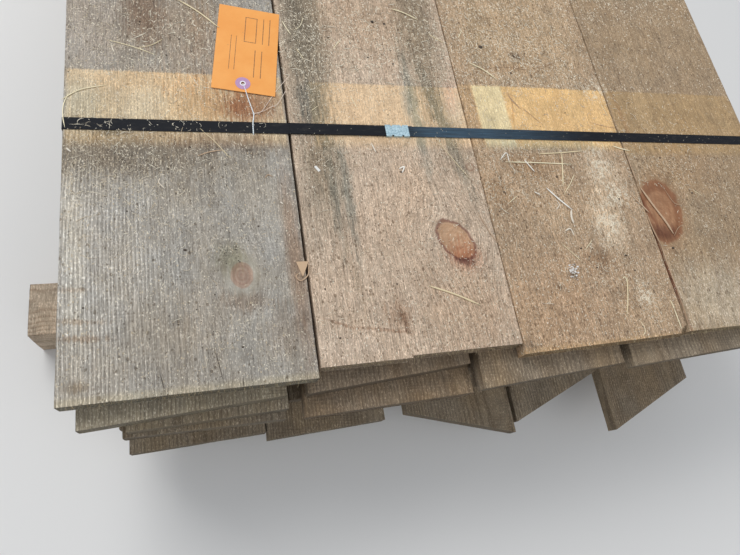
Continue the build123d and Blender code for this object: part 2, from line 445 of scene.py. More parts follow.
connect(tree, mix(tree, dirt_share, washed, DIRT_SHADE), results["Colour"])
print("group", weather_group.name)

# %% [markdown]
# ## Band saw group
# A band saw leaves fine scores across the board, a few millimetres apart, never quite
# regular. They show best where the wood is clean. The group gives them as a height, and as
# a slight darkening in the scores.

# %% Group: saw marks
SCORES_PER_MM = 1.35 / (2 * math.pi)
saw_group, given, results = new_group(
    "saw_marks", {"Place": ORIGIN}, {"Height": float, "Score": float}
)
tree = saw_group
parts = split(tree, given["Place"])
sway = noise(tree, given["Place"], (0.008, 0.02, 0.02))
steps = times_plus(tree, sway, 22.0, times_plus(tree, parts[0], 0.05, parts[1]))
wave = calc(tree, "SINE", times(tree, steps, 2 * math.pi * SCORES_PER_MM))
strength = ramp(tree, noise(tree, given["Place"], (0.02, 0.03, 0.02), 3), 0.45, 0.7)
score = times(tree, times_plus(tree, wave, 0.5, 0.5), strength)
connect(tree, score, results["Score"])
connect(tree, times(tree, score, -1.0), results["Height"])
print("group", saw_group.name)

# %% [markdown]
# ## Sawdust group
# Fine sawdust settles in the rough grain. The larger flakes are real pieces, made further
# down. This group gives the powder between them: tiny pale dots, each kept or dropped at
# random, so that one number sets how thickly they lie. The same dots, sunk and darkened,
# are the pits that a saw tears out.

# %% Group: fine sawdust
dust_group, given, results = new_group(
    "fine_sawdust",
    {"Place": ORIGIN, "Amount": 0.2, "Spacing": 1.8, "Size": 0.35},
    {"Mask": float, "Tone": float},
)
tree = dust_group
cells = tree.nodes.new("ShaderNodeTexVoronoi")
cells.inputs["Scale"].default_value = 1.0
oblong = stretch(tree, given["Place"], 1.15, 0.85, 1.0)
in_cells = scaled(tree, oblong, calc(tree, "DIVIDE", 1.0, given["Spacing"]))
connect(tree, in_cells, cells.inputs["Vector"])
chance = tree.nodes.new("ShaderNodeSeparateColor")
connect(tree, cells.outputs["Color"], chance.inputs[0])
kept = calc(tree, "LESS_THAN", chance.outputs[0], given["Amount"])
reach = times(tree, given["Size"], times_plus(tree, chance.outputs[1], 0.9, 0.5))
dot = calc(tree, "LESS_THAN", cells.outputs["Distance"], reach)
connect(tree, times(tree, kept, dot), results["Mask"])
connect(tree, chance.outputs[2], results["Tone"])
print("group", dust_group.name)

# %% [markdown]
# ## Patch group
# Many marks on the boards are soft-edged patches: blue stain that followed the grain, a
# damp mark, a brown score. One group makes them all: an oval of a given size, with a
# ragged edge. Long thin ovals are streaks.

# %% Group: a patch
patch_group, given, results = new_group(
    "patch", {**OVAL_INPUTS, "Ragged": 0.5}, {"Mask": float}
)
tree = patch_group
size_inputs = {0: given["Half Width"], 1: given["Half Length"], 2: 1.0}
sizes = add_node(tree, "ShaderNodeCombineXYZ", size_inputs)
share = vector_calc(tree, "DIVIDE", off_centre(tree, given), sizes)
length = vector_calc(tree, "LENGTH", share, output=1)
grain_noise = noise(tree, given["Place"], (0.28, 0.035, 0.1), 4, 0.6)
ragged = times(tree, calc(tree, "SUBTRACT", grain_noise, 0.5), given["Ragged"])
connect(tree, ramp(tree, times_plus(tree, ragged, 3.0, length), 1.35, 0.25), results["Mask"])
print("group", patch_group.name)

# %% [markdown]
# ## Board meshes
# Every board is sawn, so its faces are not true planes: the saw leaves the ends torn, the
# handling rounds and chips the long edges, and the surface stands in fine ridges. Each
# board is built as a closed grid whose lines crowd together near the edges and the near
# end. Every change of shape goes inwards, so a board never leaves the space that the solid
# model gives it and never cuts into its neighbour.


# %% Noise for shapes
NOISE_TABLE = 97


def smooth_noise(u, v, seed):
    """Random heights from 0 to 1 that change smoothly, a new one at each whole step."""
    table = np.random.default_rng(seed).random((NOISE_TABLE, NOISE_TABLE))
    i, j = np.floor(u).astype(int), np.floor(v).astype(int)
    s, t = u - i, v - j
    s, t = s * s * (3 - 2 * s), t * t * (3 - 2 * t)
    i, j = i % NOISE_TABLE, j % NOISE_TABLE
    i_next, j_next = (i + 1) % NOISE_TABLE, (j + 1) % NOISE_TABLE
    near = table[i, j] * (1 - s) + table[i_next, j] * s
    far = table[i, j_next] * (1 - s) + table[i_next, j_next] * s
    return near * (1 - t) + far * t


print("noise at one place", smooth_noise(np.array([0.5]), np.array([0.5]), 1))

# %% [markdown]
# A board could be a cube with a subdivision modifier, but that spends its faces evenly. The
# grid here is laid out line by line instead, fine at the near ends and the edges, which
# the eye is close to, and coarse along the hidden length.


# %% A closed grid, and a piece made of it
def grid_lines(length, edge_steps, spacing):
    """Distances along a side: close together at both ends, evenly spaced between."""
    edge = np.array(edge_steps, float)
    count = max(2, round((length - 2 * edge[-1]) / spacing))
    middle = np.linspace(edge[-1], length - edge[-1], count)
    return np.concatenate((edge[:-1], middle, (length - edge[:-1])[::-1]))


def box_surface(across, along, up):
    """Points and outward faces of a closed box surface divided at these distances."""
    shape = (len(across), len(along), len(up))
    outside = np.zeros(shape, bool)
    outside[[0, -1], :, :] = True
    outside[:, [0, -1], :] = True
    outside[:, :, [0, -1]] = True
    number = np.full(shape, -1)
    number[outside] = np.arange(outside.sum())
    i, j, k = np.nonzero(outside)
    points = np.column_stack((across[i], along[j], up[k]))
    sheets = [
        (number[:, :, -1], False), (number[:, :, 0], True),
        (number[-1, :, :], False), (number[0, :, :], True),
        (number[:, 0, :], False), (number[:, -1, :], True),
    ]
    faces = []
    for sheet, flipped in sheets:
        quads = np.stack((sheet[:-1, :-1], sheet[1:, :-1], sheet[1:, 1:], sheet[:-1, 1:]), -1)
        quads = quads.reshape(-1, 4)
        faces.append(quads[:, ::-1] if flipped else quads)
    return points, np.concatenate(faces)


def make_piece(name, points, faces, material, slot="boards", smooth=True):
    """A mesh piece that rides on the bundle, smooth or flat shaded. Points are in metres."""
    mesh = bpy.data.meshes.new(name)
    mesh.from_pydata(points.tolist() if hasattr(points, "tolist") else points, [], faces)
    mesh.polygons.foreach_set("use_smooth", [smooth] * len(mesh.polygons))
    mesh.materials.append(material)
    mesh.update()
    piece = bpy.data.objects.new(name, mesh)
    bpy.context.scene.collection.objects.link(piece)
    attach(piece, "root")
    return piece


print("a plain box has", len(box_surface(np.arange(3), np.arange(4), np.arange(2))[1]), "faces")

# %% [markdown]
# A board's place comes from the eight corners of its solid. Its own measures are simple:
# `a` across it, `b` along it from the near end, and `c` up from its underside. The near and
# far ends may run at a slant, which the last step puts back.


# %% The shape of one board
FAR_STEPS = (30, 8, 3, 1.2, 0.4, 0)
EDGE_STEPS, END_STEPS = (0, 0.5, 1.3, 2.6), (0, 0.6, 1.8)
UP_SPACING = 4.5


def board_corners(node):
    """A board's lowest and highest corner, its near end at both sides, and its length."""
    points = np.array([vertex.co for vertex in frame["nodes"][node].data.vertices])
    low, high = points.min(0), points.max(0)
    left_side = points[points[:, 0] < (low[0] + high[0]) / 2]
    right_side = points[points[:, 0] > (low[0] + high[0]) / 2]
    length = left_side[:, 1].max() - left_side[:, 1].min()
    return low, high, left_side[:, 1].min(), right_side[:, 1].min(), length


def round_edges(points, size, radius):
    """Pulls a box surface's points in, so that every edge is rounded to its own radius."""
    radius = radius[:, None]
    inner = np.clip(points, radius, size - radius)
    offset = points - inner
    reach = np.linalg.norm(offset, axis=1, keepdims=True)
    return inner + offset * radius / np.maximum(reach, 1e-9)


def shape_board(node, grid, near_cut, ridge, chip, seed):
    """Points in metres, faces, and each point's own measures for one worn board."""
    low, high, near_left, near_right, length = board_corners(node)
    size = np.array([high[0] - low[0], length, high[2] - low[2]]) / MM
    across = grid_lines(size[0], EDGE_STEPS, grid["across"])
    near = np.array(grid["near"])
    far = size[1] - np.array(FAR_STEPS)
    count = max(3, round((far[0] - near[-1]) / grid["along"]))
    body = np.linspace(near[-1], far[0], count)[1:-1]
    up = grid_lines(size[2], END_STEPS, UP_SPACING)
    flat, faces = box_surface(across, np.concatenate((near, body, far)), up)
    a, b, c = flat.T

    wear = 0.35 + chip * smooth_noise(b / 23 + c, a / 40, seed) ** 3
    wear += 0.5 * smooth_noise(b / 5, a / 6 + c, seed + 1)
    points = round_edges(flat, size, np.minimum(wear, size[2] * 0.4))

    on_near, on_far = b == 0, b == size[1]
    fuzz = 0.22 * smooth_noise(a / 1.7, b / 9, seed + 2) + ridge(a, b)
    points[:, 2] -= np.where(c == size[2], fuzz, 0)
    side_wave = 0.5 * smooth_noise(b / 60, c / 30, seed + 3)
    side_wave += 0.25 * smooth_noise(b / 4, c / 3, seed + 4)
    points[:, 0] += np.where(a == 0, side_wave, 0) - np.where(a == size[0], side_wave, 0)
    torn = 0.7 * smooth_noise(a / 1.9, c / 7, seed + 5)
    torn += 0.9 * smooth_noise(a / 17, c / 40, seed + 6)
    torn += 1.6 * smooth_noise(a / 2.3, c / 60, seed + 7) ** 5
    points[:, 1] += np.where(on_near, torn, 0) - np.where(on_far, torn, 0)
    points[:, 1] += near_cut(a, c) * np.clip(1 - b / near[-1], 0, 1)

    placed = points * MM + low
    slant = (near_right - near_left) * points[:, 0] / size[0]
    placed[:, 1] = near_left + slant + points[:, 1] * MM
    return placed, faces, flat, (on_near | on_far).astype(float)


print("grid lines beside a long edge, in millimetres", EDGE_STEPS)

# %% [markdown]
# Grain drawn on each face by itself would break at the corners. Rings run through the wood,
# so each point of a mesh stores how far it is from its log's heart, and the material turns
# that number into bands. End grain and the board's tone are stored likewise.


# %% Grain measures on a mesh
def set_attribute(piece, name, values):
    """Stores one number for each point of the mesh, for the material to read."""
    attribute = piece.data.attributes.new(name, "FLOAT", "POINT")
    attribute.data.foreach_set("value", np.ascontiguousarray(values, dtype=np.float32))


def ring_radius(flat, heart, lean, seed):
    """Distance from the log's heart, which runs at a slight lean to the board."""
    a, b, c = flat.T
    side = a - heart[0] - b * lean[0]
    rise = c - heart[1] - b * lean[1]
    wobble = 5 * smooth_noise(b / 190, a / 120, seed)
    wobble += 9 * smooth_noise(b / 700, a / 300, seed + 1)
    return np.hypot(side, rise) + wobble


def add_wood(node, points, faces, material, slot, rings, ends, tone):
    """A wooden piece in its node's place, with the measures that its grain reads."""
    piece = make_piece(node + "_wood", points, faces.tolist(), material, slot)
    set_attribute(piece, "ring_radius", rings)
    set_attribute(piece, "end_grain", ends)
    set_attribute(piece, "tone", np.full(len(points), tone))
    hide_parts(node)
    return piece


def add_board(node, grid, material, tone, heart, lean, seed, near_cut, ridge, chip=1.5):
    """Builds one board in its node's place, with its grain measures."""
    points, faces, flat, ends = shape_board(node, grid, near_cut, ridge, chip, seed)
    rings = ring_radius(flat, heart, lean, seed)
    return add_wood(node, points, faces, material, "boards", rings, ends, tone)


print("board helpers ready")

# %% [markdown]
# ## Wood of the lower boards
# The lower boards and the bearers share one builder, which is given two colours for each.
# Every mesh carries a tone from 0 to 1, which shifts the noise and picks a shade between
# grey-brown and pinkish tan, so no two boards look alike. Their ends are darker, partly
# because end grain soaks up wet and dirt and partly as painted shade.


# %% Material: lower boards
GREYER, PINKER = (1.30, 1.38, 1.42), (1.02, 0.86, 0.70)
SCORE_SHADE = (0.10, 0.075, 0.05)


def lower_wood(name, pale, dark, grey, bump):
    """Weathered sawn pine whose shade follows each mesh's tone."""
    material, tree, shader = new_material(name)
    here = tape(tree)
    grain = use_group(tree, pine_group, {
        "Place": here, "Spacing": 4.6, "Contrast": 0.55, "Pale": pale, "Dark": dark,
        # The ends' darkening is partly painted shade.
        "Fuzz": 1.0, "End Dark": 0.8,
    })
    shade = mix(tree, stored(tree, "tone"), GREYER, PINKER)
    toned = mix(tree, 1.0, grain["Colour"], shade, blend="MULTIPLY")
    saw = use_group(tree, saw_group, {"Place": here})
    scored = mix(tree, times(tree, saw["Score"], 0.22), toned, SCORE_SHADE)
    colour = use_group(tree, weather_group, {
        "Colour": scored, "Place": here, "Grey": grey, "Dirt": 0.45, "Silver": (1.0, 0.93, 0.80),
    })["Colour"]
    height = times_plus(tree, saw["Height"], 0.4, grain["Height"])
    finish(tree, shader, colour, 0.88, height, bump)
    return material


# The lower boards get darker colours than the bearers: painted shade, as they lie under the top
# boards.
lower_material = lower_wood(
    "lower_board_wood", (0.34, 0.262, 0.160), (0.17, 0.115, 0.065), 0.35, 0.0009
)
bearer_material = lower_wood(
    "bearer_wood", (0.54, 0.41, 0.29), (0.31, 0.20, 0.12), 0.25, 0.0010
)
print("materials", lower_material.name, bearer_material.name)

# %% [markdown]
# ## Lower boards
# Layers two to ten. The near ends of a few show below the top boards, so those get a finer
# grid. A board's heart, tone and lean are drawn from one seeded random source, always in
# the same order, so every run gives the same bundle. The boards that the photograph shows
# have their tones set.

# %% Build the lower boards
SHOWN_GRID = {"across": 4.0, "near": (0, 0.4, 1.2, 3, 7, 13, 20, 32, 50), "along": 90}
HIDDEN_GRID = {"across": 9.0, "near": (0, 0.4, 1.2, 3, 8, 30), "along": 150}
# Layer three's second board has the darkest tone, as painted shade on its end under the boards
# above.
SHOWN_TONES = {
    "layer_02": (0.0, 1.0, 0.8, 0.7), "layer_03": (0.35, 1.0), "layer_04": (0.5,),
    "layer_10": (0.55, 0.6, 0.65, 0.6, 0.7),
}


def plain(a, _):
    """Nothing cut off an end, and no raised grain."""
    return 0 * a


draw = np.random.default_rng(41)
lower_nodes = [n for n in sorted(frame["nodes"]) if n.startswith("layer")]
lower_nodes = [n for n in lower_nodes if not n.startswith("layer_01")]
lower_triangles = 0
for count, node in enumerate(lower_nodes):
    layer, _, board_number = node.rpartition("_board_")
    tones = SHOWN_TONES.get(layer, ())
    grid = SHOWN_GRID if tones else HIDDEN_GRID
    heart = (draw.uniform(20, 230), draw.choice([-1, 1]) * draw.uniform(25, 95))
    lean = (draw.uniform(-0.02, 0.02), draw.uniform(-0.012, 0.012))
    tone = draw.uniform(0.3, 1)
    if int(board_number) <= len(tones):
        tone = tones[int(board_number) - 1]
    seed = 100 + 10 * count
    board = add_board(node, grid, lower_material, tone, heart, lean, seed, plain, plain)
    lower_triangles += 2 * len(board.data.polygons)
print(len(lower_nodes), "lower boards,", lower_triangles, "triangles")

# %% [markdown]
# ## Bearers
# Three square timbers carry the bundle off the ground. They are the same wood, sawn
# square, with the heart of the tree inside, so their ends show whole rings. A bearer lies
# across the boards, so its mesh is built lengthwise as a board and then turned.


# %% Build the bearers
SQUARE_STEPS, LENGTH_STEPS = (0, 0.8, 2.2, 5), (0, 0.6, 2, 6, 15)
BEARERS = (
    ("bearer_near", 0.35, (30, 40)), ("bearer_middle", 0.65, (60, 20)),
    ("bearer_far", 0.95, (45, 55)),
)


def add_bearer(node, tone, heart, seed):
    """A worn square timber that lies across the bundle."""
    low, high = (np.array(v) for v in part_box(node))
    size = np.array([high[1] - low[1], high[0] - low[0], high[2] - low[2]]) / MM
    across, up = (grid_lines(side, SQUARE_STEPS, 5) for side in (size[0], size[2]))
    flat, faces = box_surface(across, grid_lines(size[1], LENGTH_STEPS, 24), up)
    a, b, c = flat.T
    wear = 0.9 + 3.0 * smooth_noise(b / 45 + c, a / 50, seed) ** 3
    wear += 0.5 * smooth_noise(b / 6, a / 9 + c, seed)
    points = round_edges(flat, size, wear)
    side_depth = 0.5 * smooth_noise(b / 30, c / 4, seed + 3)
    side_depth += 0.5 * smooth_noise(b / 90, c / 32, seed + 6)
    end_depth = 0.8 * smooth_noise(a / 4, c / 4, seed + 1)
    end_depth += 1.2 * smooth_noise(a / 20, c / 20, seed + 2)
    for axis, depth in ((0, side_depth), (1, end_depth)):
        points[:, axis] += np.where(flat[:, axis] == 0, depth, 0)
        points[:, axis] -= np.where(flat[:, axis] == size[axis], depth, 0)
    ends = ((b == 0) | (b == size[1])).astype(float)
    rings = ring_radius(flat, heart, (0.01, 0.006), seed)
    placed = points[:, [1, 0, 2]] * (1, -1, 1) * MM + (low[0], high[1], low[2])
    return add_wood(node, placed, faces, bearer_material, "bearers", rings, ends, tone)


for count, (node, tone, heart) in enumerate(BEARERS):
    add_bearer(node, tone, heart, 900 + 20 * count)
print(len(BEARERS), "bearers")

# %% [markdown]
# ## Wood of the top boards
# The four top boards fill the photograph, so each gets its own material: the same grain,
# saw mark, weather and sawdust groups, with its own colours, and then its own knots and
# stains at their measured places. A paler, cleaner band runs across all four, where a
# bearer of another bundle kept the sun off.


# %% Materials: a top board before its own marks
def band_mask(tree, here, left, right, near, far):
    """Mask of the pale band between two distances along and across, ragged in the grain."""
    parts = split(tree, here)
    uneven = noise(tree, here, (0.5, 0.03, 0.1), 3)
    y = times_plus(tree, uneven, 7.0, parts[1])
    x = times_plus(tree, uneven, 5.0, parts[0])
    lengthwise = between(tree, y, (near - 8, near + 14), (far + 5, far + 1))
    return times(tree, lengthwise, between(tree, x, (left - 2, left + 5), (right + 6, right)))


def top_wood(name, look, weather, scored, band, clean, knots=()):
    """Grain, saw marks and weather, smoother on the knots and, by a share, in the band."""
    material, tree, shader = new_material(name)
    here = tape(tree)
    covered = band_mask(tree, here, *band)
    swept = times(tree, covered, clean)
    push, calm = 0.0, swept
    shapes = []
    for pixel, half_width, half_length, turn, calm_reach in knots:
        shape = use_group(tree, knot_group, {
            "Place": here, "Centre": spot_vector(*pixel), "Half Width": half_width,
            "Half Length": half_length, "Turn": math.radians(turn),
        })
        shapes.append(shape)
        push = calc(tree, "ADD", push, shape["Push"])
        calm = calc(tree, "MAXIMUM", calm, ramp(tree, shape["Distance"], calm_reach, 0.95))
    # The ends' darkening is partly painted shade.
    grain_inputs = {"Place": here, "Push": push, "Calm": calm, "End Dark": 0.95, **look}
    grain = use_group(tree, pine_group, grain_inputs)
    saw = use_group(tree, saw_group, {"Place": here})
    colour = mix(tree, times(tree, saw["Score"], scored), grain["Colour"], look["Dark"])
    weather_inputs = {"Place": here, "Colour": colour, **weather}
    colour = use_group(tree, weather_group, weather_inputs)["Colour"]
    return {
        "material": material, "tree": tree, "shader": shader, "here": here, "grain": grain,
        "colour": colour, "height": times_plus(tree, saw["Height"], 0.3, grain["Height"]),
        "knots": shapes, "calm": calm, "covered": covered,
        "heaped": times(tree, swept, -0.3),
    }


print("band and base helpers ready")

# %% [markdown]
# A board's own marks, and a few painted highlights and shadows, are laid over that base one
# after another, as rows of a table: where in the photograph, how large, how strong and what
# colour. A painted image would be quicker, but rows stay sharp and can be moved by hand.
# Most marks multiply the colour, so the grain shows through them as it does through a real
# stain.


# %% Marks on a top board
def tint(wood, mask, strength, shade, blend="MIX"):
    """Colours a masked part of a board."""
    tree = wood["tree"]
    share = times(tree, mask, strength, clamp=True)
    wood["colour"] = mix(tree, share, wood["colour"], shade, blend=blend)


def stain_or_painted_light(wood, mask, strength, factor):
    """Darkens or brightens a masked part, which keeps its grain."""
    tint(wood, mask, strength, factor, blend="MULTIPLY")


def oval(wood, centre, half_width, half_length, turn, ragged):
    """Mask of a soft oval, in millimetres and radians."""
    return use_group(wood["tree"], patch_group, {
        "Place": wood["here"], "Centre": centre, "Half Width": half_width,
        "Half Length": half_length, "Turn": turn, "Ragged": ragged,
    })["Mask"]


def patch(wood, pixel, half_width, half_length, turn=0.0, ragged=0.5):
    """Mask of a soft patch at a photo pixel, its turn in degrees."""
    return oval(wood, spot_vector(*pixel), half_width, half_length, math.radians(turn), ragged)


def streak(wood, start, stop, half_width, ragged=0.6):
    """Mask of a long patch between two photo pixels."""
    (x0, y0), (x1, y1) = on_boards(*start), on_boards(*stop)
    half_length, turn = math.hypot(x1 - x0, y1 - y0) / 2, math.atan2(x1 - x0, y1 - y0)
    return oval(wood, ((x0 + x1) / 2, (y0 + y1) / 2, 0.0), half_width, half_length, turn, ragged)


def stain_or_shadow_patches(wood, rows):
    """Stains or paints shade on patches. A row is pixel, half width, half length, turn, ragged,
    strength, factor.
    """
    for *shape, strength, factor in rows:
        stain_or_painted_light(wood, patch(wood, *shape), strength, factor)


def stain_streaks(wood, rows):
    """Stains streaks. A row is two pixels, half width, ragged, strength, factor."""
    for *shape, strength, factor in rows:
        stain_or_painted_light(wood, streak(wood, *shape), strength, factor)


def stain_knot(wood, knot, rows):
    """Stains round a knot. A row is the distances for nothing and all, strength, factor."""
    for nothing, everything, strength, factor in rows:
        mask = ramp(wood["tree"], knot["Distance"], nothing, everything)
        stain_or_painted_light(wood, mask, strength, factor)


def stain_rings(wood, knot, edge, strength, factor):
    """Stains the rings of a knot, which fade out over its edge."""
    inside = ramp(wood["tree"], knot["Distance"], *edge)
    stain_or_painted_light(wood, times(wood["tree"], inside, knot["Rings"]), strength, factor)


def heap(wood, mask, amount):
    """Lays more fine sawdust on a masked part, or clears it."""
    wood["heaped"] = times_plus(wood["tree"], mask, amount, wood["heaped"])


def heap_patches(wood, rows):
    """Heaps on patches. A row is pixel, half width, half length, turn, ragged, amount."""
    for *shape, amount in rows:
        heap(wood, patch(wood, *shape), amount)


print("mark helpers ready")

# %% [markdown]
# Last come the pits that the saw tore out and the dust that fell into the grain. Both use
# the sawdust group, once for each size. They keep off the end grain, and the pits keep off
# the knots too.

# %% Pits, sawdust and the finished board
DUST_PALE, DUST_BROWN = (0.92, 0.84, 0.68), (0.60, 0.48, 0.32)
PIT_SHADE = (0.45, 0.40, 0.34)
RIM_LIGHT = (1.36, 1.28, 1.04)
PIT_OFFSET = (311.0, 97.0, 53.0)
PIT_SIZES = ((2.7, 1.0), (5.2, 0.7))
POWDER_SIZES = ((1.5, 1.0), (2.9, 0.6))


def dots(tree, place, amount, spacing, size=0.34):
    """Scattered dots, with their mask and tone."""
    inputs = {"Place": place, "Amount": amount, "Spacing": spacing, "Size": size}
    return use_group(tree, dust_group, inputs)


def finish_wood(wood, dust, pits, bump):
    """Adds torn pits and sawdust of two sizes, then plugs colour, roughness and bump."""
    tree, here = wood["tree"], wood["here"]
    stain_or_painted_light(wood, ramp(tree, split(tree, here)[1], 14, 3), 0.6, RIM_LIGHT)
    level = calc(tree, "SUBTRACT", 1.0, wood["grain"]["End"], clamp=True)
    rough = calc(tree, "SUBTRACT", level, wood["calm"], clamp=True)
    beside = vector_calc(tree, "ADD", here, PIT_OFFSET)
    pit_share = 0.0
    for spacing, share in PIT_SIZES:
        pit = times(tree, dots(tree, beside, pits * share, spacing)["Mask"], rough)
        pit_share = calc(tree, "MAXIMUM", pit_share, pit)
    stain_or_painted_light(wood, pit_share, 0.75, PIT_SHADE)
    colour = wood["colour"]
    thick = noise(tree, here, (0.014, 0.014, 0.02), 4, 0.65)
    amount = times_plus(tree, ramp(tree, thick, 0.36, 0.68, 0.2, 1.7), dust, wood["heaped"])
    powder = 0.0
    for spacing, share in POWDER_SIZES:
        grains = dots(tree, here, times(tree, amount, share), spacing)
        grain_share = times(tree, grains["Mask"], level)
        shade = mix(tree, grains["Tone"], DUST_PALE, DUST_BROWN)
        colour = mix(tree, times(tree, grain_share, 0.85), colour, shade)
        powder = calc(tree, "ADD", powder, grain_share)
    height = times_plus(tree, powder, 0.8, wood["height"])
    height = times_plus(tree, pit_share, -1.2, height)
    finish(tree, wood["shader"], colour, 0.85, height, bump)
    return wood["material"]


print("powder in", len(POWDER_SIZES), "sizes, pits in", len(PIT_SIZES))

# %% [markdown]
# The first board is the greyest. Its left half is cut near the heart, so the summer bands
# cross the face steeply and stand up as ridges, brightened with a painted highlight. It has
# one pink knot with an olive-grey stain beside it, a brown strip along its right edge, thin
# checks at the near end, and some brown scores near the left corner. Its ends get painted
# shade, and a painted shadow lies under the strap near the left corner. The rows below were
# read off the photograph, mark by mark.

# %% Material: first top board
CRACK_SHADE = (0.06, 0.045, 0.03)
CRACKS = (((214, 347), (225, 386)), ((159, 370), (166, 395)), ((243, 377), (244, 388)))
board_1 = top_wood(
    "top_board_1_wood",
    {"Spacing": 4.3, "Contrast": 0.25, "Pale": (0.405, 0.34, 0.258),
     "Dark": (0.635, 0.57, 0.475), "Fuzz": 1.2},
    {"Grey": 0.5, "Dirt": 0.3, "Silver": (1.0, 0.97, 0.90)},
    scored=0.2, band=(4, 302, 352, 476), clean=0.3, knots=[((242, 275), 14, 18, 0, 2.6)],
)
tree, knot = board_1["tree"], board_1["knots"][0]
# Painted highlight: the raised summer bands on the left half are brightened.
painted_ridge_highlight = times(tree, board_1["grain"]["Late"], patch(board_1, (85, 290), 100, 260, 0, 0.4))
stain_or_painted_light(board_1, painted_ridge_highlight, 0.95, (1.46, 1.48, 1.50))
stain_or_painted_light(board_1, board_1["covered"], 0.9, (1.84, 1.60, 1.20))
# Painted shade: the end faces are darkened further.
stain_or_painted_light(board_1, board_1["grain"]["End"], 0.8, (0.74, 0.76, 0.76))
stain_or_shadow_patches(board_1, (
    ((90, 270), 70, 150, 0, 0.5, 0.6, (1.16, 1.2, 1.26)),
    ((240, 300), 70, 140, 0, 0.5, 0.5, (1.04, 1.06, 1.08)),
    ((110, 152), 170, 46, 0, 0.7, 0.95, (0.56, 0.50, 0.43)),
    ((210, 165), 120, 60, 0, 0.6, 0.4, (0.80, 0.76, 0.70)),
    ((140, 20), 160, 120, 0, 0.5, 0.6, (0.86, 0.77, 0.68)),
    ((143, 8), 34, 80, 0, 0.6, 0.7, (0.62, 0.44, 0.33)),
    ((252, 104), 46, 46, 0, 0.6, 0.8, (0.72, 0.52, 0.38)),
    ((240, 104), 20, 40, 0, 0.7, 0.7, (0.70, 0.50, 0.40)),
    ((215, 105), 22, 40, 0, 0.8, 0.5, (0.8, 0.64, 0.5)),
    ((231, 258), 24, 27, 0, 0.6, 0.8, (0.62, 0.62, 0.5)),
    ((248, 302), 34, 15, 10, 0.8, 0.6, (0.74, 0.6, 0.5)),
    ((285, 330), 26, 40, 0, 0.8, 0.5, (0.84, 0.72, 0.62)),
    ((78, 339), 34, 4.4, 4, 1.1, 0.7, (0.70, 0.56, 0.45)),
    ((78, 322), 32, 3.6, 6, 1.1, 0.6, (0.74, 0.60, 0.48)),
    ((72, 290), 20, 3.6, 4, 1.1, 0.5, (0.74, 0.60, 0.48)),
    ((75, 388), 14, 8, 0, 0.9, 0.7, (0.6, 0.5, 0.38)),
    ((150, 340), 90, 60, 0, 0.9, 0.4, (0.88, 0.82, 0.74)),
    # Painted shadow under the strap near the left corner.
    ((110, 132), 24, 7, 0, 0.9, 0.7, (0.3, 0.3, 0.27)),
    ((255, 143), 60, 20, 0, 0.8, 0.8, (0.66, 0.60, 0.54)),
    ((150, 80), 120, 26, 0, 0.6, 0.7, (1.14, 1.03, 0.92)),
    ((205, 104), 60, 44, 0, 0.6, 0.9, (0.91, 0.79, 0.67)),
    ((82, 98), 28, 50, 0, 0.8, 0.9, (0.78, 0.85, 0.92)),
    ((256, 108), 50, 28, 0, 0.7, 0.9, (0.70, 0.62, 0.64)),
    ((88, 25), 50, 110, 0, 0.7, 0.8, (1.18, 1.17, 1.20)),
    ((185, 35), 50, 120, 0, 0.7, 0.7, (1.03, 0.92, 0.82)),
    ((225, 141), 110, 17, 0, 0.8, 0.9, (0.78, 0.74, 0.76)),
    ((160, 14), 70, 60, 0, 0.7, 0.7, (0.84, 0.82, 0.79)),
    ((203, 42), 26, 90, 0, 0.6, 0.8, (0.95, 0.86, 0.78)),
    ((212, 315), 46, 50, 0, 0.7, 0.7, (1.16, 1.11, 1.06)),
))
stain_streaks(board_1, (
    ((282, 165), (312, 372), 14, 0.3, 0.85, (0.90, 0.70, 0.58)),
    ((69, 140), (76, 385), 14, 0.4, 0.8, (1.28, 1.26, 1.20)),
))
stain_knot(board_1, knot, (
    (2.1, 1.4, 0.8, (1.10, 1.10, 1.05)), (1.12, 0.95, 0.9, (0.96, 0.73, 0.66)),
))
stain_rings(board_1, knot, (1.05, 0.9), 0.4, (0.74, 0.58, 0.52))
for start, stop in CRACKS:
    tint(board_1, streak(board_1, start, stop, 0.7, 0.2), 0.9, CRACK_SHADE)
heap(board_1, ramp(tree, knot["Distance"], 2.3, 1.6), -0.5)
heap_patches(board_1, (
    ((95, 158), 110, 60, 0, 0.9, 0.3), ((235, 252), 16, 14, 0, 1.2, 0.4),
    ((110, 40), 130, 90, 0, 0.9, 0.12),
))
board_1_material = finish_wood(board_1, 0.16, 0.08, 0.0011)
print("material", board_1_material.name)

# %% [markdown]
# The second board is warmer. Blue-grey stain runs along it in two broad streaks, bright
# wood shows between them in the pale band, and a large oval knot with a dark purple rim
# and a reddish halo sits right of its middle. A damp mark crosses it near the end.

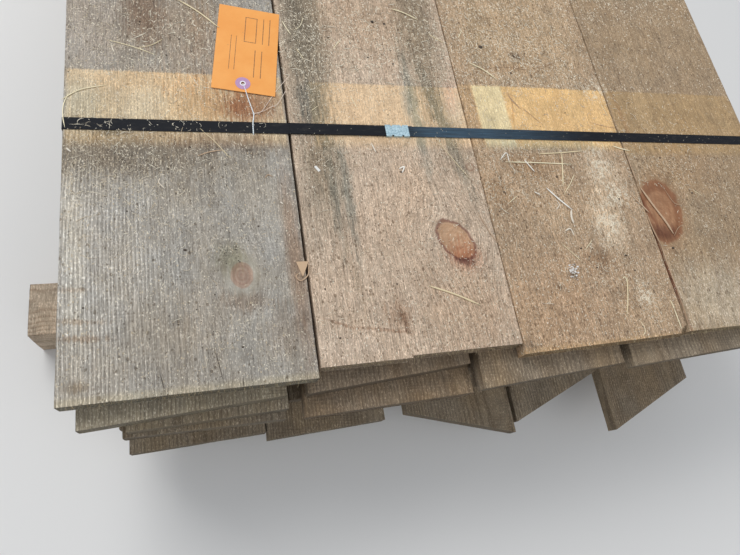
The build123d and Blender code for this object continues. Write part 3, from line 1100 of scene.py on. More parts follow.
# %% Material: second top board
BLUE_STAIN, DARK_DUST = (0.46, 0.58, 0.64), (0.56, 0.56, 0.50)
board_2 = top_wood(
    "top_board_2_wood",
    {"Spacing": 6.5, "Contrast": 0.3, "Pale": (0.70, 0.515, 0.362),
     "Dark": (0.47, 0.315, 0.20), "Fuzz": 1.35},
    {"Grey": 0.15, "Dirt": 0.2, "Silver": (1.0, 0.93, 0.80)},
    scored=0.15, band=(346, 608, 352, 470), clean=0.55,
    knots=[((456, 240), 25.5, 37, -34, 1.3), ((470, 167), 7, 7, 0, 1.3)],
)
stain_or_painted_light(board_2, board_2["covered"], 0.9, (1.34, 1.26, 1.05))
stain_or_shadow_patches(board_2, (
    ((375, 20), 110, 90, 0, 0.6, 0.6, (0.80, 0.74, 0.66)),
    ((450, 98), 14, 40, 10, 0.9, 0.5, (1.15, 0.86, 0.78)),
    ((400, 315), 20, 26, 0, 1.0, 0.6, (0.70, 0.58, 0.5)),
    ((345, 347), 64, 22, 0, 0.9, 0.5, (1.12, 1.16, 1.22)),
    ((400, 200), 60, 70, 20, 0.6, 0.6, (1.16, 1.12, 1.08)),
    ((470, 310), 70, 90, 0, 0.8, 0.5, (0.90, 0.80, 0.70)),
    ((303, 35), 36, 160, 0, 0.5, 0.9, (0.70, 0.74, 0.79)),
    ((311, 104), 27, 56, 0, 0.6, 0.9, (0.62, 0.71, 0.82)),
    ((451, 105), 20, 44, 0, 0.6, 0.8, (1.02, 1.14, 1.30)),
    ((400, 143), 150, 10, 0, 0.8, 0.6, (0.84, 0.86, 0.90)),
))
stain_streaks(board_2, (
    ((293, -80), (322, 160), 38, 0.4, 0.9, DARK_DUST),
    ((392, -90), (438, 135), 42, 0.5, 0.9, (0.52, 0.53, 0.49)),
    ((282, -60), (303, 145), 26, 0.4, 0.85, (0.68, 0.70, 0.69)),
    ((303, 135), (318, 262), 20, 0.5, 0.75, (0.80, 0.84, 0.86)),
    ((312, 100), (336, 240), 30, 0.5, 0.8, (0.58, 0.60, 0.57)),
    ((322, 125), (345, 262), 6.5, 0.8, 0.5, BLUE_STAIN),
    ((338, 130), (360, 268), 8, 0.8, 0.6, BLUE_STAIN),
    ((331, 125), (350, 235), 20, 0.7, 0.35, BLUE_STAIN),
    ((345, 240), (368, 318), 6, 1.0, 0.5, (0.62, 0.6, 0.55)),
    ((398, 40), (432, 185), 11, 0.7, 0.8, BLUE_STAIN),
    ((412, 50), (476, 205), 11, 0.8, 0.55, BLUE_STAIN),
    ((422, 70), (476, 198), 22, 0.7, 0.75, (0.60, 0.62, 0.60)),
    ((397, 303), (412, 338), 5, 0.9, 0.8, (0.55, 0.45, 0.38)),
    ((380, 296), (392, 330), 4, 0.9, 0.6, (0.62, 0.52, 0.45)),
    ((322, 318), (360, 330), 2.4, 1.0, 0.7, (0.62, 0.5, 0.43)),
    ((352, 327), (420, 333), 2.8, 1.0, 0.7, (0.62, 0.5, 0.43)),
    ((397, 186), (427, 203), 1.6, 0.6, 0.5, (0.62, 0.52, 0.45)),
    ((402, 80), (411, 124), 10, 0.6, 0.85, (0.70, 0.79, 0.90)),
))
tree, knot, small_knot = board_2["tree"], *board_2["knots"]
distance = knot["Distance"]
halo = times(tree, ramp(tree, distance, 2.0, 0.9), patch(board_2, (466, 262), 34, 38, 0, 0.8))
stain_or_painted_light(board_2, halo, 0.85, (0.80, 0.52, 0.42))
stain_knot(board_2, knot, ((1.08, 0.94, 0.95, (0.92, 0.76, 0.63)),))
stain_rings(board_2, knot, (1.0, 0.8), 0.35, (0.70, 0.58, 0.48))
rim = between(tree, distance, (0.82, 0.95), (1.1, 0.99))
stain_or_painted_light(board_2, rim, 0.8, (0.40, 0.30, 0.34))
wide_rim = between(tree, distance, (0.8, 1.0), (1.35, 1.05))
near_rim = times(tree, wide_rim, patch(board_2, (464, 264), 24, 13, 0, 0.9))
stain_or_painted_light(board_2, near_rim, 0.85, (0.34, 0.24, 0.26))
small_rim = between(tree, small_knot["Distance"], (0.5, 0.9), (1.3, 1.0))
stain_or_painted_light(board_2, small_rim, 0.7, (0.55, 0.42, 0.38))
heap(board_2, ramp(tree, distance, 1.3, 1.0), -0.15)
heap(board_2, streak(board_2, (305, 10), (328, 130), 34), 0.22)
heap(board_2, streak(board_2, (425, 10), (455, 160), 36), 0.18)
heap_patches(board_2, (((318, 150), 34, 40, 0, 0.9, 0.15),))
board_2_material = finish_wood(board_2, 0.16, 0.2, 0.0009)
print("material", board_2_material.name)

# %% [markdown]
# The third board is orange-brown, sawn across the rings' curve, so its grain is plain. It
# has a spot of dried resin, and carries most of the sawdust. The pale band is brightest
# here: yellow at the left and orange at the right.

# %% Material: third top board
board_3 = top_wood(
    "top_board_3_wood",
    {"Spacing": 9.0, "Contrast": 0.12, "Pale": (0.54, 0.362, 0.214),
     "Dark": (0.37, 0.232, 0.128), "Fuzz": 1.4},
    {"Grey": 0.1, "Dirt": 0.35, "Silver": (1.0, 0.9, 0.74)},
    scored=0.1, band=(634, 905, 352, 478), clean=0.7,
)
tree, here = board_3["tree"], board_3["here"]
stain_or_painted_light(board_3, board_3["covered"], 0.95, (1.76, 1.64, 1.20))
stain_or_painted_light(board_3, band_mask(tree, here, 634, 690, 352, 478), 0.95, (1.0, 1.26, 1.60))
stain_or_painted_light(board_3, band_mask(tree, here, 608, 634, 352, 478), 0.8, (1.18, 1.10, 0.92))
stain_or_shadow_patches(board_3, (
    ((550, 146), 120, 15, 0, 0.8, 0.9, (0.70, 0.82, 0.95)),
    ((520, 30), 150, 190, 0, 0.7, 0.8, (1.13, 1.15, 1.10)),
    ((515, 68), 90, 9, -8, 0.9, 0.6, (0.84, 0.76, 0.68)),
    ((475, 40), 22, 130, 8, 0.7, 0.6, (0.84, 0.86, 0.84)),
    ((516, 56), 16, 11, 0, 0.9, 0.9, (0.42, 0.41, 0.42)),
    ((560, 205), 90, 70, 0, 0.7, 0.6, (1.14, 1.14, 1.12)),
    ((650, 315), 60, 60, 0, 0.7, 0.6, (1.14, 1.14, 1.12)),
    ((530, 165), 50, 30, 0, 0.9, 0.7, (0.66, 0.58, 0.48)),
    ((500, 195), 26, 34, 0, 0.9, 0.5, (0.7, 0.62, 0.52)),
    ((600, 260), 32, 22, 0, 0.9, 0.6, (0.66, 0.55, 0.45)),
    ((560, 300), 120, 90, 0, 0.7, 0.5, (1.08, 0.98, 0.92)),
    ((608, 222), 36, 52, 0, 0.9, 0.85, (1.6, 1.7, 1.8)),
    ((602, 172), 40, 60, 10, 0.9, 0.75, (1.5, 1.6, 1.7)),
    ((574, 275), 9, 8, 0, 0.8, 0.95, (0.3, 0.28, 0.28)),
))
stain_streaks(board_3, (
    ((511, 88), (514, 126), 2.2, 0.6, 0.7, (0.72, 0.60, 0.48)),
))
heap_patches(board_3, (
    ((612, 228), 28, 52, 10, 1.0, 1.0), ((600, 168), 26, 42, 12, 1.0, 0.9),
    ((646, 294), 24, 34, 0, 1.0, 0.6), ((565, 80), 60, 24, 0, 1.0, 0.45),
    ((575, 230), 110, 90, 0, 0.9, 0.12),
))
board_3_material = finish_wood(board_3, 0.2, 0.22, 0.0008)
print("material", board_3_material.name)

# %% [markdown]
# The fourth board is browner, and grey-brown towards its near right. Half of a dark red
# oval knot is cut by its left edge.

# %% Material: fourth top board
board_4 = top_wood(
    "top_board_4_wood",
    {"Spacing": 8.0, "Contrast": 0.2, "Pale": (0.47, 0.322, 0.182),
     "Dark": (0.32, 0.196, 0.10), "Fuzz": 1.15},
    {"Grey": 0.12, "Dirt": 0.3, "Silver": (1.0, 0.92, 0.8)},
    scored=0.15, band=(912, 1210, 340, 478), clean=0.4,
    knots=[((661, 211), 43, 63, 15, 1.3)],
)
tree, knot = board_4["tree"], board_4["knots"][0]
stain_or_painted_light(board_4, board_4["covered"], 0.7, (1.22, 1.14, 0.9))
stain_or_shadow_patches(board_4, (
    ((725, 300), 120, 75, 0, 0.7, 0.9, (1.40, 1.60, 1.86)),
    ((690, 170), 90, 60, 0, 0.7, 0.5, (1.04, 0.94, 0.84)),
    ((650, 205), 13, 16, 15, 0.8, 0.6, (1.16, 1.24, 1.30)),
    ((664, 232), 34, 15, 0, 0.7, 0.8, (0.52, 0.42, 0.42)),
))
stain_streaks(board_4, (
    ((612, 95), (636, 150), 6, 0.6, 0.6, (0.8, 0.68, 0.62)),
    ((636, 190), (664, 236), 4, 0.8, 0.7, (0.62, 0.42, 0.36)),
    ((640, 200), (694, 335), 3.4, 0.9, 0.9, (0.5, 0.26, 0.2)),
))
stain_knot(board_4, knot, (
    (1.6, 0.9, 0.5, (0.88, 0.72, 0.62)), (1.08, 0.93, 0.95, (0.74, 0.51, 0.42)),
    (0.82, 0.5, 0.8, (1.36, 1.58, 1.72)),
))
stain_rings(board_4, knot, (1.0, 0.8), 0.4, (0.72, 0.6, 0.52))
heap(board_4, ramp(tree, knot["Distance"], 1.15, 1.0), -0.4)
board_4_material = finish_wood(board_4, 0.12, 0.18, 0.0008)
print("material", board_4_material.name)

# %% [markdown]
# ## Top boards
# The same board builder, with a much finer grid near the camera. Raised grain on the first
# board, a step in the second one's end, a torn right edge and a broken corner on the third
# are shapes, because they show in outline and catch the light.

# %% Build the top boards
NEAR_ROWS = (0, 0.3, 0.9, 2, 4, 7, 11, 16, 22, 30, *range(42, 640, 13))
TOP_GRID = {"across": 1.35, "near": NEAR_ROWS, "along": 60}
TOP_TONE = 0.1
RIDGE_SPACING, RIDGE_DEPTH = 4.2, 0.32
STEP_FROM, STEP_DEPTH = 128, 3.2
BROKEN_CORNER, BROKEN_DEPTH = (297, 25.4), 12


def raised_grain(a, b):
    """Depth of the worn soft bands between the hard ones on the first board."""
    wander = 4 * smooth_noise(b / 160, a / 90, 7)
    wave = 0.5 + 0.5 * np.sin((a + wander) * 2 * math.pi / RIDGE_SPACING)
    return RIDGE_DEPTH * wave * np.clip(1.15 - a / 150, 0.08, 1)


def step_cut(a, c):
    """The second board's end: its right part was cut a little further back."""
    return np.where(a > STEP_FROM, STEP_DEPTH, 0.0)


def corner_cut(a, c):
    """The third board's end: a chip broken out of the upper right corner."""
    away = np.hypot((a - BROKEN_CORNER[0]) / 13, (c - BROKEN_CORNER[1]) / 9)
    return BROKEN_DEPTH * np.sqrt(np.clip(1 - away, 0, 1))


TOP_BOARDS = (
    (board_1_material, (205, -38), (0.004, 0.0), plain, raised_grain, 1.2),
    (board_2_material, (120, -70), (0.01, -0.008), step_cut, plain, 1.2),
    (board_3_material, (150, 120), (-0.01, 0.006), corner_cut, plain, 2.6),
    (board_4_material, (60, -90), (0.0, 0.004), plain, plain, 2.6),
)
for count, (material, heart, lean, near_cut, ridge, chip) in enumerate(TOP_BOARDS):
    node, seed = f"layer_01_board_{count + 1}", 500 + 10 * count
    board = add_board(
        node, TOP_GRID, material, TOP_TONE, heart, lean, seed, near_cut, ridge, chip
    )
    print(board.name, 2 * len(board.data.polygons), "triangles")

# %% [markdown]
# ## What lies on the bundle
# Everything loose, and the wire, has to rest on what carries it, from any side. One search
# tree of all upper surfaces answers how high the ground is at a place.

# %% Height of the ground
SEARCH_HEIGHT = 30.0
SEARCH_START, SEARCH_LENGTH = -60.0, 0.2
TAG_TURN = math.radians(8.0)
TAG_CORNER = (197.7, 450.7, 0.0)
TAG_SIZE, TAG_MARGIN = (95.0, 168.0), 3.0
CARRIERS = ("strap_near", "strap_far", "seal_near", "seal_far", "tag", "tag_ring")

upper_boards = [
    piece for piece in bpy.data.objects
    if piece.name.startswith(("layer_01", "layer_02")) and piece.name.endswith("_wood")
]
ground_points, ground_faces = [], []
for piece in upper_boards + [frame["nodes"][node] for node in CARRIERS]:
    first = len(ground_points)
    ground_points += [vertex.co.copy() for vertex in piece.data.vertices]
    ground_faces += [[first + i for i in face.vertices] for face in piece.data.polygons]
ground_tree = BVHTree.FromPolygons(ground_points, ground_faces)


def ground(right, back):
    """Height of the uppermost surface at a place, in millimetres above the boards' level."""
    start = place(right, back, SEARCH_HEIGHT)
    hit = ground_tree.ray_cast(start, Vector((0, 0, -1)), 1.0)[0]
    return -SEARCH_HEIGHT if hit is None else (hit.z - stack_top) / MM


def end_of_board(right, depth):
    """How far back a near end stands, at a place and at a depth below the boards' top."""
    start = place(right, SEARCH_START, -depth)
    hit = ground_tree.ray_cast(start, Vector((0, 1, 0)), SEARCH_LENGTH)[0]
    return None if hit is None else (hit.y - corner.y) / MM


def under_tag(right, back):
    """True where the tag covers the boards, or nearly."""
    right, back = right - TAG_CORNER[0], back - TAG_CORNER[1]
    u = right * math.cos(TAG_TURN) - back * math.sin(TAG_TURN)
    v = right * math.sin(TAG_TURN) + back * math.cos(TAG_TURN)
    in_u = -TAG_MARGIN < u < TAG_SIZE[0] + TAG_MARGIN
    return in_u and -TAG_MARGIN < v < TAG_SIZE[1] + TAG_MARGIN


print("ground at the strap", round(ground(150, 380), 2), "beside it", round(ground(150, 340), 2))

# %% [markdown]
# ## Shapes of loose things
# Straws, sticks and wires are thin tubes along a path, round or flattened, pointed or
# blunt. A curve object with a bevel draws such a tube too, but these are meshes from the
# start: closed, quick to join, and able to carry a tone at each point.


# %% Paths and tubes
UP = Vector((0, 0, 1))


def smooth_path(points, steps):
    """A path through the given points, rounded between them."""
    points = [Vector(p) for p in points]
    padded = [2 * points[0] - points[1]] + points + [2 * points[-1] - points[-2]]
    path = []
    for before, start, end, after in zip(padded, padded[1:], padded[2:], padded[3:]):
        for step in range(steps):
            t = step / steps
            bend = 2 * start + (end - before) * t
            bend += (2 * before - 5 * start + 4 * end - after) * t * t
            bend += (3 * start - before - 3 * end + after) * t ** 3
            path.append(bend / 2)
    return path + [points[-1]]


def sides_of(path, step):
    """Directions sideways and upwards, square to a path at one of its points."""
    ahead = path[min(step + 1, len(path) - 1)] - path[max(step - 1, 0)]
    ahead = ahead.normalized()
    across = ahead.cross(UP)
    across = across.normalized() if across.length > 0.05 else Vector((1, 0, 0))
    return across, across.cross(ahead)


def tube(path, radii, sides=6, flat=1.0):
    """Points and faces of a closed tube along a path, its height squashed by a share."""
    points, faces = [], []
    for step, (centre, radius) in enumerate(zip(path, radii)):
        across, over = sides_of(path, step)
        for side in range(sides):
            angle = 2 * math.pi * side / sides
            sideways_part = across * (radius * math.cos(angle))
            points.append(centre + sideways_part + over * (radius * flat * math.sin(angle)))
    for row in range(0, (len(path) - 1) * sides, sides):
        for side in range(sides):
            beside = (side + 1) % sides
            faces.append((row + side, row + beside, row + sides + beside, row + sides + side))
    faces.append(tuple(range(sides))[::-1])
    faces.append(tuple(range(len(points) - sides, len(points))))
    return points, faces


print("tube faces", len(tube([Vector((0, 0, 0)), Vector((0, 9, 0))], [1, 1])[1]))

# %% [markdown]
# A chip is a flat outline given some thickness. A crumb could be a ready-made sphere, but
# that looks moulded, so `lump` pulls in every point of a coarse one by its own amount. A
# thousand objects would slow the scene down, so bits of one kind are joined.


# %% Slabs, lumps and joined pieces
def slab(outline, low, high):
    """Points and faces of a flat chip with this outline, listed against the clock."""
    count = len(outline)
    points = [Vector((x, y, z)) for z in (low, high) for x, y in outline]
    faces = [tuple(range(count))[::-1], tuple(range(count, 2 * count))]
    faces += [(i, (i + 1) % count, count + (i + 1) % count, count + i) for i in range(count)]
    return points, faces


def lump(centre, size, draw, rings=4, sides=7):
    """Points and faces of a small uneven lump."""
    size = Vector(size)
    points, faces = [], []
    for ring in range(1, rings):
        tilt = math.pi * ring / rings
        for side in range(sides):
            turn = 2 * math.pi * side / sides
            level = math.sin(tilt)
            out = Vector((level * math.cos(turn), level * math.sin(turn), math.cos(tilt)))
            points.append(centre + out * draw.uniform(0.7, 1.0) * size)
    top, bottom = len(points), len(points) + 1
    points += [centre + size.z * UP, centre - size.z * UP]
    last = (rings - 2) * sides
    for side in range(sides):
        beside = (side + 1) % sides
        for row in range(0, last, sides):
            faces.append((row + side, row + sides + side, row + sides + beside, row + beside))
        faces.append((top, side, beside))
        faces.append((bottom, last + beside, last + side))
    return points, faces


def join_parts(parts):
    """Several points-and-faces pairs as one, in metres from millimetres off the corner."""
    all_points, all_faces = [], []
    for points, faces in parts:
        first = len(all_points)
        all_points += [place(*point) for point in points]
        all_faces += [tuple(first + i for i in face) for face in faces]
    return all_points, all_faces


def add_bits(name, parts, tones, material, slot="boards", smooth=True):
    """Joins loose parts into one piece that carries one tone for each part."""
    piece = make_piece(name, *join_parts(parts), material, slot, smooth)
    set_attribute(piece, "tone", np.repeat(tones, [len(points) for points, _ in parts]))
    print(name, len(parts), "parts")
    return piece


print("lump faces", len(lump(Vector(), (1, 1, 1), np.random.default_rng(1))[1]))

# %% [markdown]
# ## Loose wood's colours
# Straws, flakes, splinters and bark crumbs share one material builder. Fresh sawdust is
# cream, older bits are tan or brown, and dust dulls them all. A tone stored with each bit
# picks its own shade between two colours, so a heap of flakes never looks moulded.


# %% Materials: loose bits
def loose_material(name, light, dark, roughness=0.8):
    """A dull material between two shades, picked by each bit's own tone."""
    material, tree, shader = new_material(name)
    here = tape(tree)
    speckle = times_plus(tree, noise(tree, here, 0.9, 3, 0.6), 0.8, -0.4)
    share = calc(tree, "ADD", stored(tree, "tone"), speckle, clamp=True)
    relief = noise(tree, here, 2.0)
    finish(tree, shader, mix(tree, share, light, dark), roughness, relief, 0.00003)
    return material


flake_material = loose_material("sawdust_flakes", (0.95, 0.88, 0.72), (0.55, 0.41, 0.25))
straw_material = loose_material("straw", (0.97, 0.88, 0.62), (0.74, 0.58, 0.34), 0.6)
splinter_material = loose_material("splinters", (0.62, 0.44, 0.29), (0.30, 0.18, 0.10))
shaving_material = loose_material("shavings", (0.93, 0.89, 0.80), (0.72, 0.60, 0.44), 0.7)
bark_material = loose_material("bark_crumbs", (0.085, 0.06, 0.04), (0.03, 0.02, 0.013))
torn_material = loose_material("torn_fibres", (0.66, 0.54, 0.34), (0.28, 0.20, 0.11))
resin_material = loose_material("resin_crust", (0.92, 0.90, 0.86), (0.30, 0.22, 0.16), 0.45)
wire_material = loose_material("tie_wire_zinc", (0.94, 0.97, 0.98), (0.62, 0.76, 0.82), 0.4)
end_material = loose_material("tie_wire_ends", (0.92, 0.78, 0.66), (0.60, 0.46, 0.36), 0.45)
print("nine loose materials")

# %% [markdown]
# ## Sawdust flakes
# The saw threw coarse dust over the boards: thousands of slivers a few millimetres long.
# They lie thickest beyond the strap, along its near side at the left, and in two pale
# drifts on the third board. A density map says how likely a flake is at each place. Each
# flake is a closed wedge of four faces, so that the whole scatter stays light.

# %% Where the dust lies
DRIFTS = (
    ((110, 60), 150, 0.55), ((240, 50), 120, 0.4), ((95, 160), 80, 1.1), ((170, 165), 90, 0.7),
    ((130, 230), 100, 0.35), ((250, 240), 40, 0.3), ((290, 170), 40, 0.3), ((310, 60), 110, 0.9),
    ((380, 60), 120, 0.5), ((450, 70), 120, 0.7), ((325, 150), 60, 0.5), ((440, 145), 60, 0.5),
    ((430, 240), 60, 0.7), ((455, 320), 60, 0.4), ((480, 290), 60, 0.35), ((520, 50), 130, 0.8),
    ((530, 165), 70, 0.9), ((500, 210), 60, 0.5), ((600, 255), 80, 0.6), ((600, 300), 120, 0.35),
    ((648, 300), 40, 0.7), ((660, 150), 90, 0.4), ((700, 200), 120, 0.25), ((240, 330), 60, 0.3),
)
STRAP_LEVEL, STRAP_TONE, STRAP_CLEAN = 0.7, 0.13, 330.0
BARE_KNOTS = tuple(
    (*on_boards(*pixel), reach)
    for pixel, reach in (((242, 275), 30), ((659, 203), 36), ((665, 224), 34))
)
drift_spots = np.array([(*on_boards(*pixel), reach, weight) for pixel, reach, weight in DRIFTS])


def dust_density(right, back):
    """How likely a flake is to lie here, from 0 to 1."""
    across, along, reach, weight = drift_spots.T
    away = np.hypot(across - right[:, None], along - back[:, None])
    drifts = (weight * np.exp(-((away / reach) ** 2))).sum(1)
    everywhere = np.where(back > 650, 0.45, 0.10)
    clumps = 0.35 + 1.1 * smooth_noise(right / 21, back / 21, 61)
    return np.clip(drifts + everywhere, 0, 1) * clumps


def bare_knot(right, back):
    """True on the two knots that are too smooth to hold dust."""
    return any(math.hypot(right - x, back - y) < reach for x, y, reach in BARE_KNOTS)


def blown_off(level, right, shade):
    """True for most of the dust on the strap, and for all of it right of the tag's wire."""
    return level > STRAP_LEVEL and (shade > STRAP_TONE or right > STRAP_CLEAN)


def scattered(draw, pixel, across, along, amount):
    """Places scattered round a photo pixel, thinning outwards over these reaches."""
    right, back = on_boards(*pixel)
    rights = draw.normal(right, across, amount)
    return np.column_stack((rights, draw.normal(back, along, amount)))


print("dust beside the strap and far from it", dust_density(*np.array([[80.0, 80], [340, 640]])))

# %% [markdown]
# A particle system could scatter copies of one flake, but real slivers differ in length and
# colour, and each has to rest on what lies below it. So every flake is built at its own
# place, and left out where the tag, a smooth knot or the swept strap stays bare.

# %% Flakes at given places
HIGHEST_DUST = 1.62
FAR_FROM, FAR_SCALE = 480.0, 1.35


def add_flakes(name, spots, scale, tone_share, draw):
    """Closed four-faced slivers at the given places, each with its own tone."""
    count = len(spots)
    length = scale * draw.lognormal(math.log(2.7), 0.5, count).clip(1.0, 9)
    width = draw.uniform(0.5, 1.25, count) * scale
    height = draw.uniform(0.3, 0.6, count) * scale
    turn = draw.uniform(0, math.pi, count)
    tone = draw.beta(1.2, 2.6, count) * np.where(spots[:, 1] > FAR_FROM, 0.7, 1.0)
    points, tones = [], []
    for (x, y), l, w, h, t, shade in zip(spots, length, width, height, turn, tone):
        level = ground(x, y)
        if not -2 < level < HIGHEST_DUST or under_tag(x, y):
            continue
        if blown_off(level, x, shade) or (shade < 0.6 and bare_knot(x, y)):
            continue
        along, across = np.array(((math.cos(t), math.sin(t)), (-math.sin(t), math.cos(t))))
        for shift, up in (
            (-along * l / 2, -0.05), (along * l / 2, 0.3 * h), (across * w, 0.0),
            (across * w / 3, h),
        ):
            points.append((x + shift[0], y + shift[1], level + up))
        tones += [shade * tone_share] * 4
    corners = np.array(points) * MM + np.array(corner)
    first = np.arange(0, len(points), 4)[:, None]
    faces = np.concatenate([first + f for f in ((0, 2, 1), (0, 1, 3), (1, 2, 3), (2, 0, 3))])
    piece = make_piece(name, corners, faces.tolist(), flake_material, smooth=False)
    set_attribute(piece, "tone", tones)
    print(name, len(tones) // 4, "flakes")


print("dust lies up to", HIGHEST_DUST, "mm above the boards")

# %% [markdown]
# Places are tried at random and kept where the density map allows. The hidden far part gets
# a thin, even scatter, and the pale drifts get tight heaps of short flakes on top.

# %% Scatter the flakes
HEAPS = (
    ((608, 222), 26, 34), ((600, 165), 24, 30), ((618, 195), 24, 26), ((595, 92), 30, 16),
    ((646, 296), 16, 18),
)
TOP_RIGHT, FAR_END, SEEN_BACK = 1210.0, 2430.0, 900.0
TRIES, UNSEEN_FLAKES = 76000, 2600
draw = np.random.default_rng(77)
tries = np.column_stack((draw.uniform(3, TOP_RIGHT, TRIES), draw.uniform(4, SEEN_BACK, TRIES)))
seen = tries[draw.random(TRIES) < 0.6 * dust_density(*tries.T)]
unseen_right = draw.uniform(3, TOP_RIGHT, UNSEEN_FLAKES)
unseen = np.column_stack((unseen_right, draw.uniform(SEEN_BACK, FAR_END, UNSEEN_FLAKES)))
flake_spots = np.concatenate((seen, unseen))
far_scale = np.where(flake_spots[:, 1] > FAR_FROM, FAR_SCALE, 1.0)
add_flakes("sawdust_flakes", flake_spots, far_scale, 1.0, draw)

heap_spots = np.concatenate([
    scattered(draw, pixel, across / 1.6, along / 1.4, int(across * along * 2.6))
    for pixel, across, along in HEAPS
])
x, y = heap_spots.T
clumped = smooth_noise(x / 5, y / 7, 62) > 0.5
heap_spots = heap_spots[clumped & (x < 1205) & (y > 5)]
add_flakes("sawdust_drifts", heap_spots, 0.72, 0.3, draw)

# %% [markdown]
# The saw also tears off long thin fibres. They lie as pale bent hairs, thickest beyond the
# strap and along the near side of its left end. Each is a three-sided tube on a bent path.

# %% Scatter the fibres
FIBRE_ZONES = (
    ((100, 160), 70, 50, 230), ((150, 200), 90, 60, 110), ((110, 50), 120, 90, 260),
    ((240, 45), 60, 70, 110), ((310, 60), 45, 110, 300), ((350, 40), 70, 100, 190),
    ((430, 70), 60, 110, 280), ((500, 50), 90, 100, 260), ((330, 150), 30, 40, 60),
    ((450, 150), 60, 50, 90), ((510, 180), 40, 45, 170), ((560, 60), 70, 60, 150),
    ((600, 160), 60, 50, 90), ((600, 290), 90, 60, 90), ((400, 280), 110, 80, 110),
    ((240, 300), 70, 70, 60), ((690, 190), 60, 60, 70), ((640, 190), 20, 40, 60),
    ((620, 120), 40, 40, 50), ((80, 120), 30, 30, 60),
)


def fibre_parts(spots, draw):
    """Bent hairs at the given places, with one tone each."""
    parts, tones = [], []
    for x, y in spots:
        length, turn = draw.lognormal(math.log(7.0), 0.5), draw.uniform(0, 2 * math.pi)
        bend, radius = draw.normal(0, 0.45), draw.uniform(0.2, 0.44)
        radius *= FAR_SCALE if y > FAR_FROM else 1.0
        path, here = [], Vector((x, y, 0))
        for _ in range(4):
            level = ground(here.x, here.y)
            path.append(Vector((*here.xy, level + radius * 0.6 + draw.uniform(0, 0.5))))
            here = here + Vector((math.cos(turn), math.sin(turn), 0)) * length / 3
            turn += bend
        low, high = min(p.z for p in path), max(p.z for p in path)
        uneven = low < -1 or high > HIGHEST_DUST + 0.9 or high - low > 1.6
        on_clean_strap = high > STRAP_LEVEL + radius and x > STRAP_CLEAN
        if uneven or on_clean_strap or under_tag(x, y) or bare_knot(x, y):
            continue
        parts.append(tube(path, [radius * 0.5, radius, radius, radius * 0.5], 3))
        tones.append(draw.beta(0.8, 2.6))
    return parts, tones


fibre_spots = np.concatenate([scattered(draw, *zone) for zone in FIBRE_ZONES])
x, y = fibre_spots.T
parts, tones = fibre_parts(fibre_spots[(x > 4) & (x < 1200) & (y > 5)], draw)
add_bits("sawdust_fibres", parts, tones, flake_material)

# %% [markdown]
# A saw leaves torn fibres on the end of a board, most along the upper edge. Each top
# board's near end gets short hairs that stick out and droop, brown and yellow.

# %% Tear fibres out of the near ends
END_FIBRES = ((10, 300, 170), (310, 608, 230), (612, 908, 200), (914, 1210, 150))
FURTHEST_END = 40
parts, tones = [], []
for left, right, amount in END_FIBRES:
    for _ in range(amount):
        x, depth = draw.uniform(left, right), 0.8 + 22 * draw.beta(0.6, 2.0)
        end = end_of_board(x, depth)
        if end is None or end > FURTHEST_END:
            continue
        length, lean = draw.lognormal(math.log(2.6), 0.45), draw.normal(0, 1.2)
        radius = draw.uniform(0.16, 0.36)
        droop = draw.uniform(0.3, 0.9)
        path = [
            Vector((x, end + 0.6, -depth)),
            Vector((x + lean * 0.4, end - length * 0.5, -depth - length * 0.12)),
            Vector((x + lean * 1.4, end - length, -depth - length * droop)),
        ]
        parts.append(tube(path, [radius, radius, radius * 0.4], 3))
        tones.append(draw.uniform(0, 1))
add_bits("torn_end_fibres", parts, tones, torn_material)

# %% [markdown]
# ## Straws and splinters
# Longer things lie at places that can be read off the photograph: stalks of straw, torn
# splinters along the split edge, a few thin shavings, dark twigs. Each is a tube along a
# path of photo pixels that rests on the ground below it.


# %% A stalk on a path
def lay_path(pixels, radius, lift):
    """A smooth path on the boards' top through photo pixels, lifted in its middle."""
    path = smooth_path([(*on_boards(*pixel), 0) for pixel in pixels], 6)
    level = max(0.0, np.median([ground(p.x, p.y) for p in path]))
    for step, p in enumerate(path):
        arch = lift * math.sin(math.pi * step / (len(path) - 1))
        p.z = max(level, ground(p.x, p.y)) + radius * 0.7 + arch
    return path


def lay_straws(name, rows, material, draw, flat, thicker):
    """Joins tubes along several pixel paths into one piece. A row is pixels, radius, lift."""
    parts, tones = [], []
    for pixels, radius, lift in rows:
        path = lay_path(pixels, radius, lift)
        share = np.linspace(0, 1, len(path))
        ends = np.minimum(1, share * 6) * np.minimum(1, (1 - share) * 6)
        girth = thicker * draw.uniform(0.85, 1.1, len(path))
        parts.append(tube(path, radius * (0.35 + 0.65 * ends) * girth, 6, flat))
        tones.append(draw.uniform(0, 0.7))
    add_bits(name, parts, tones, material)


print("points on a short stalk", len(lay_path(((429, 286), (480, 305)), 1, 0)))

# %% [markdown]
# The eye picks these few out one by one, so each is listed, where the dust could be
# scattered by a rule. A row holds the path's pixels, the radius and how far the middle bows
# up, both in millimetres.

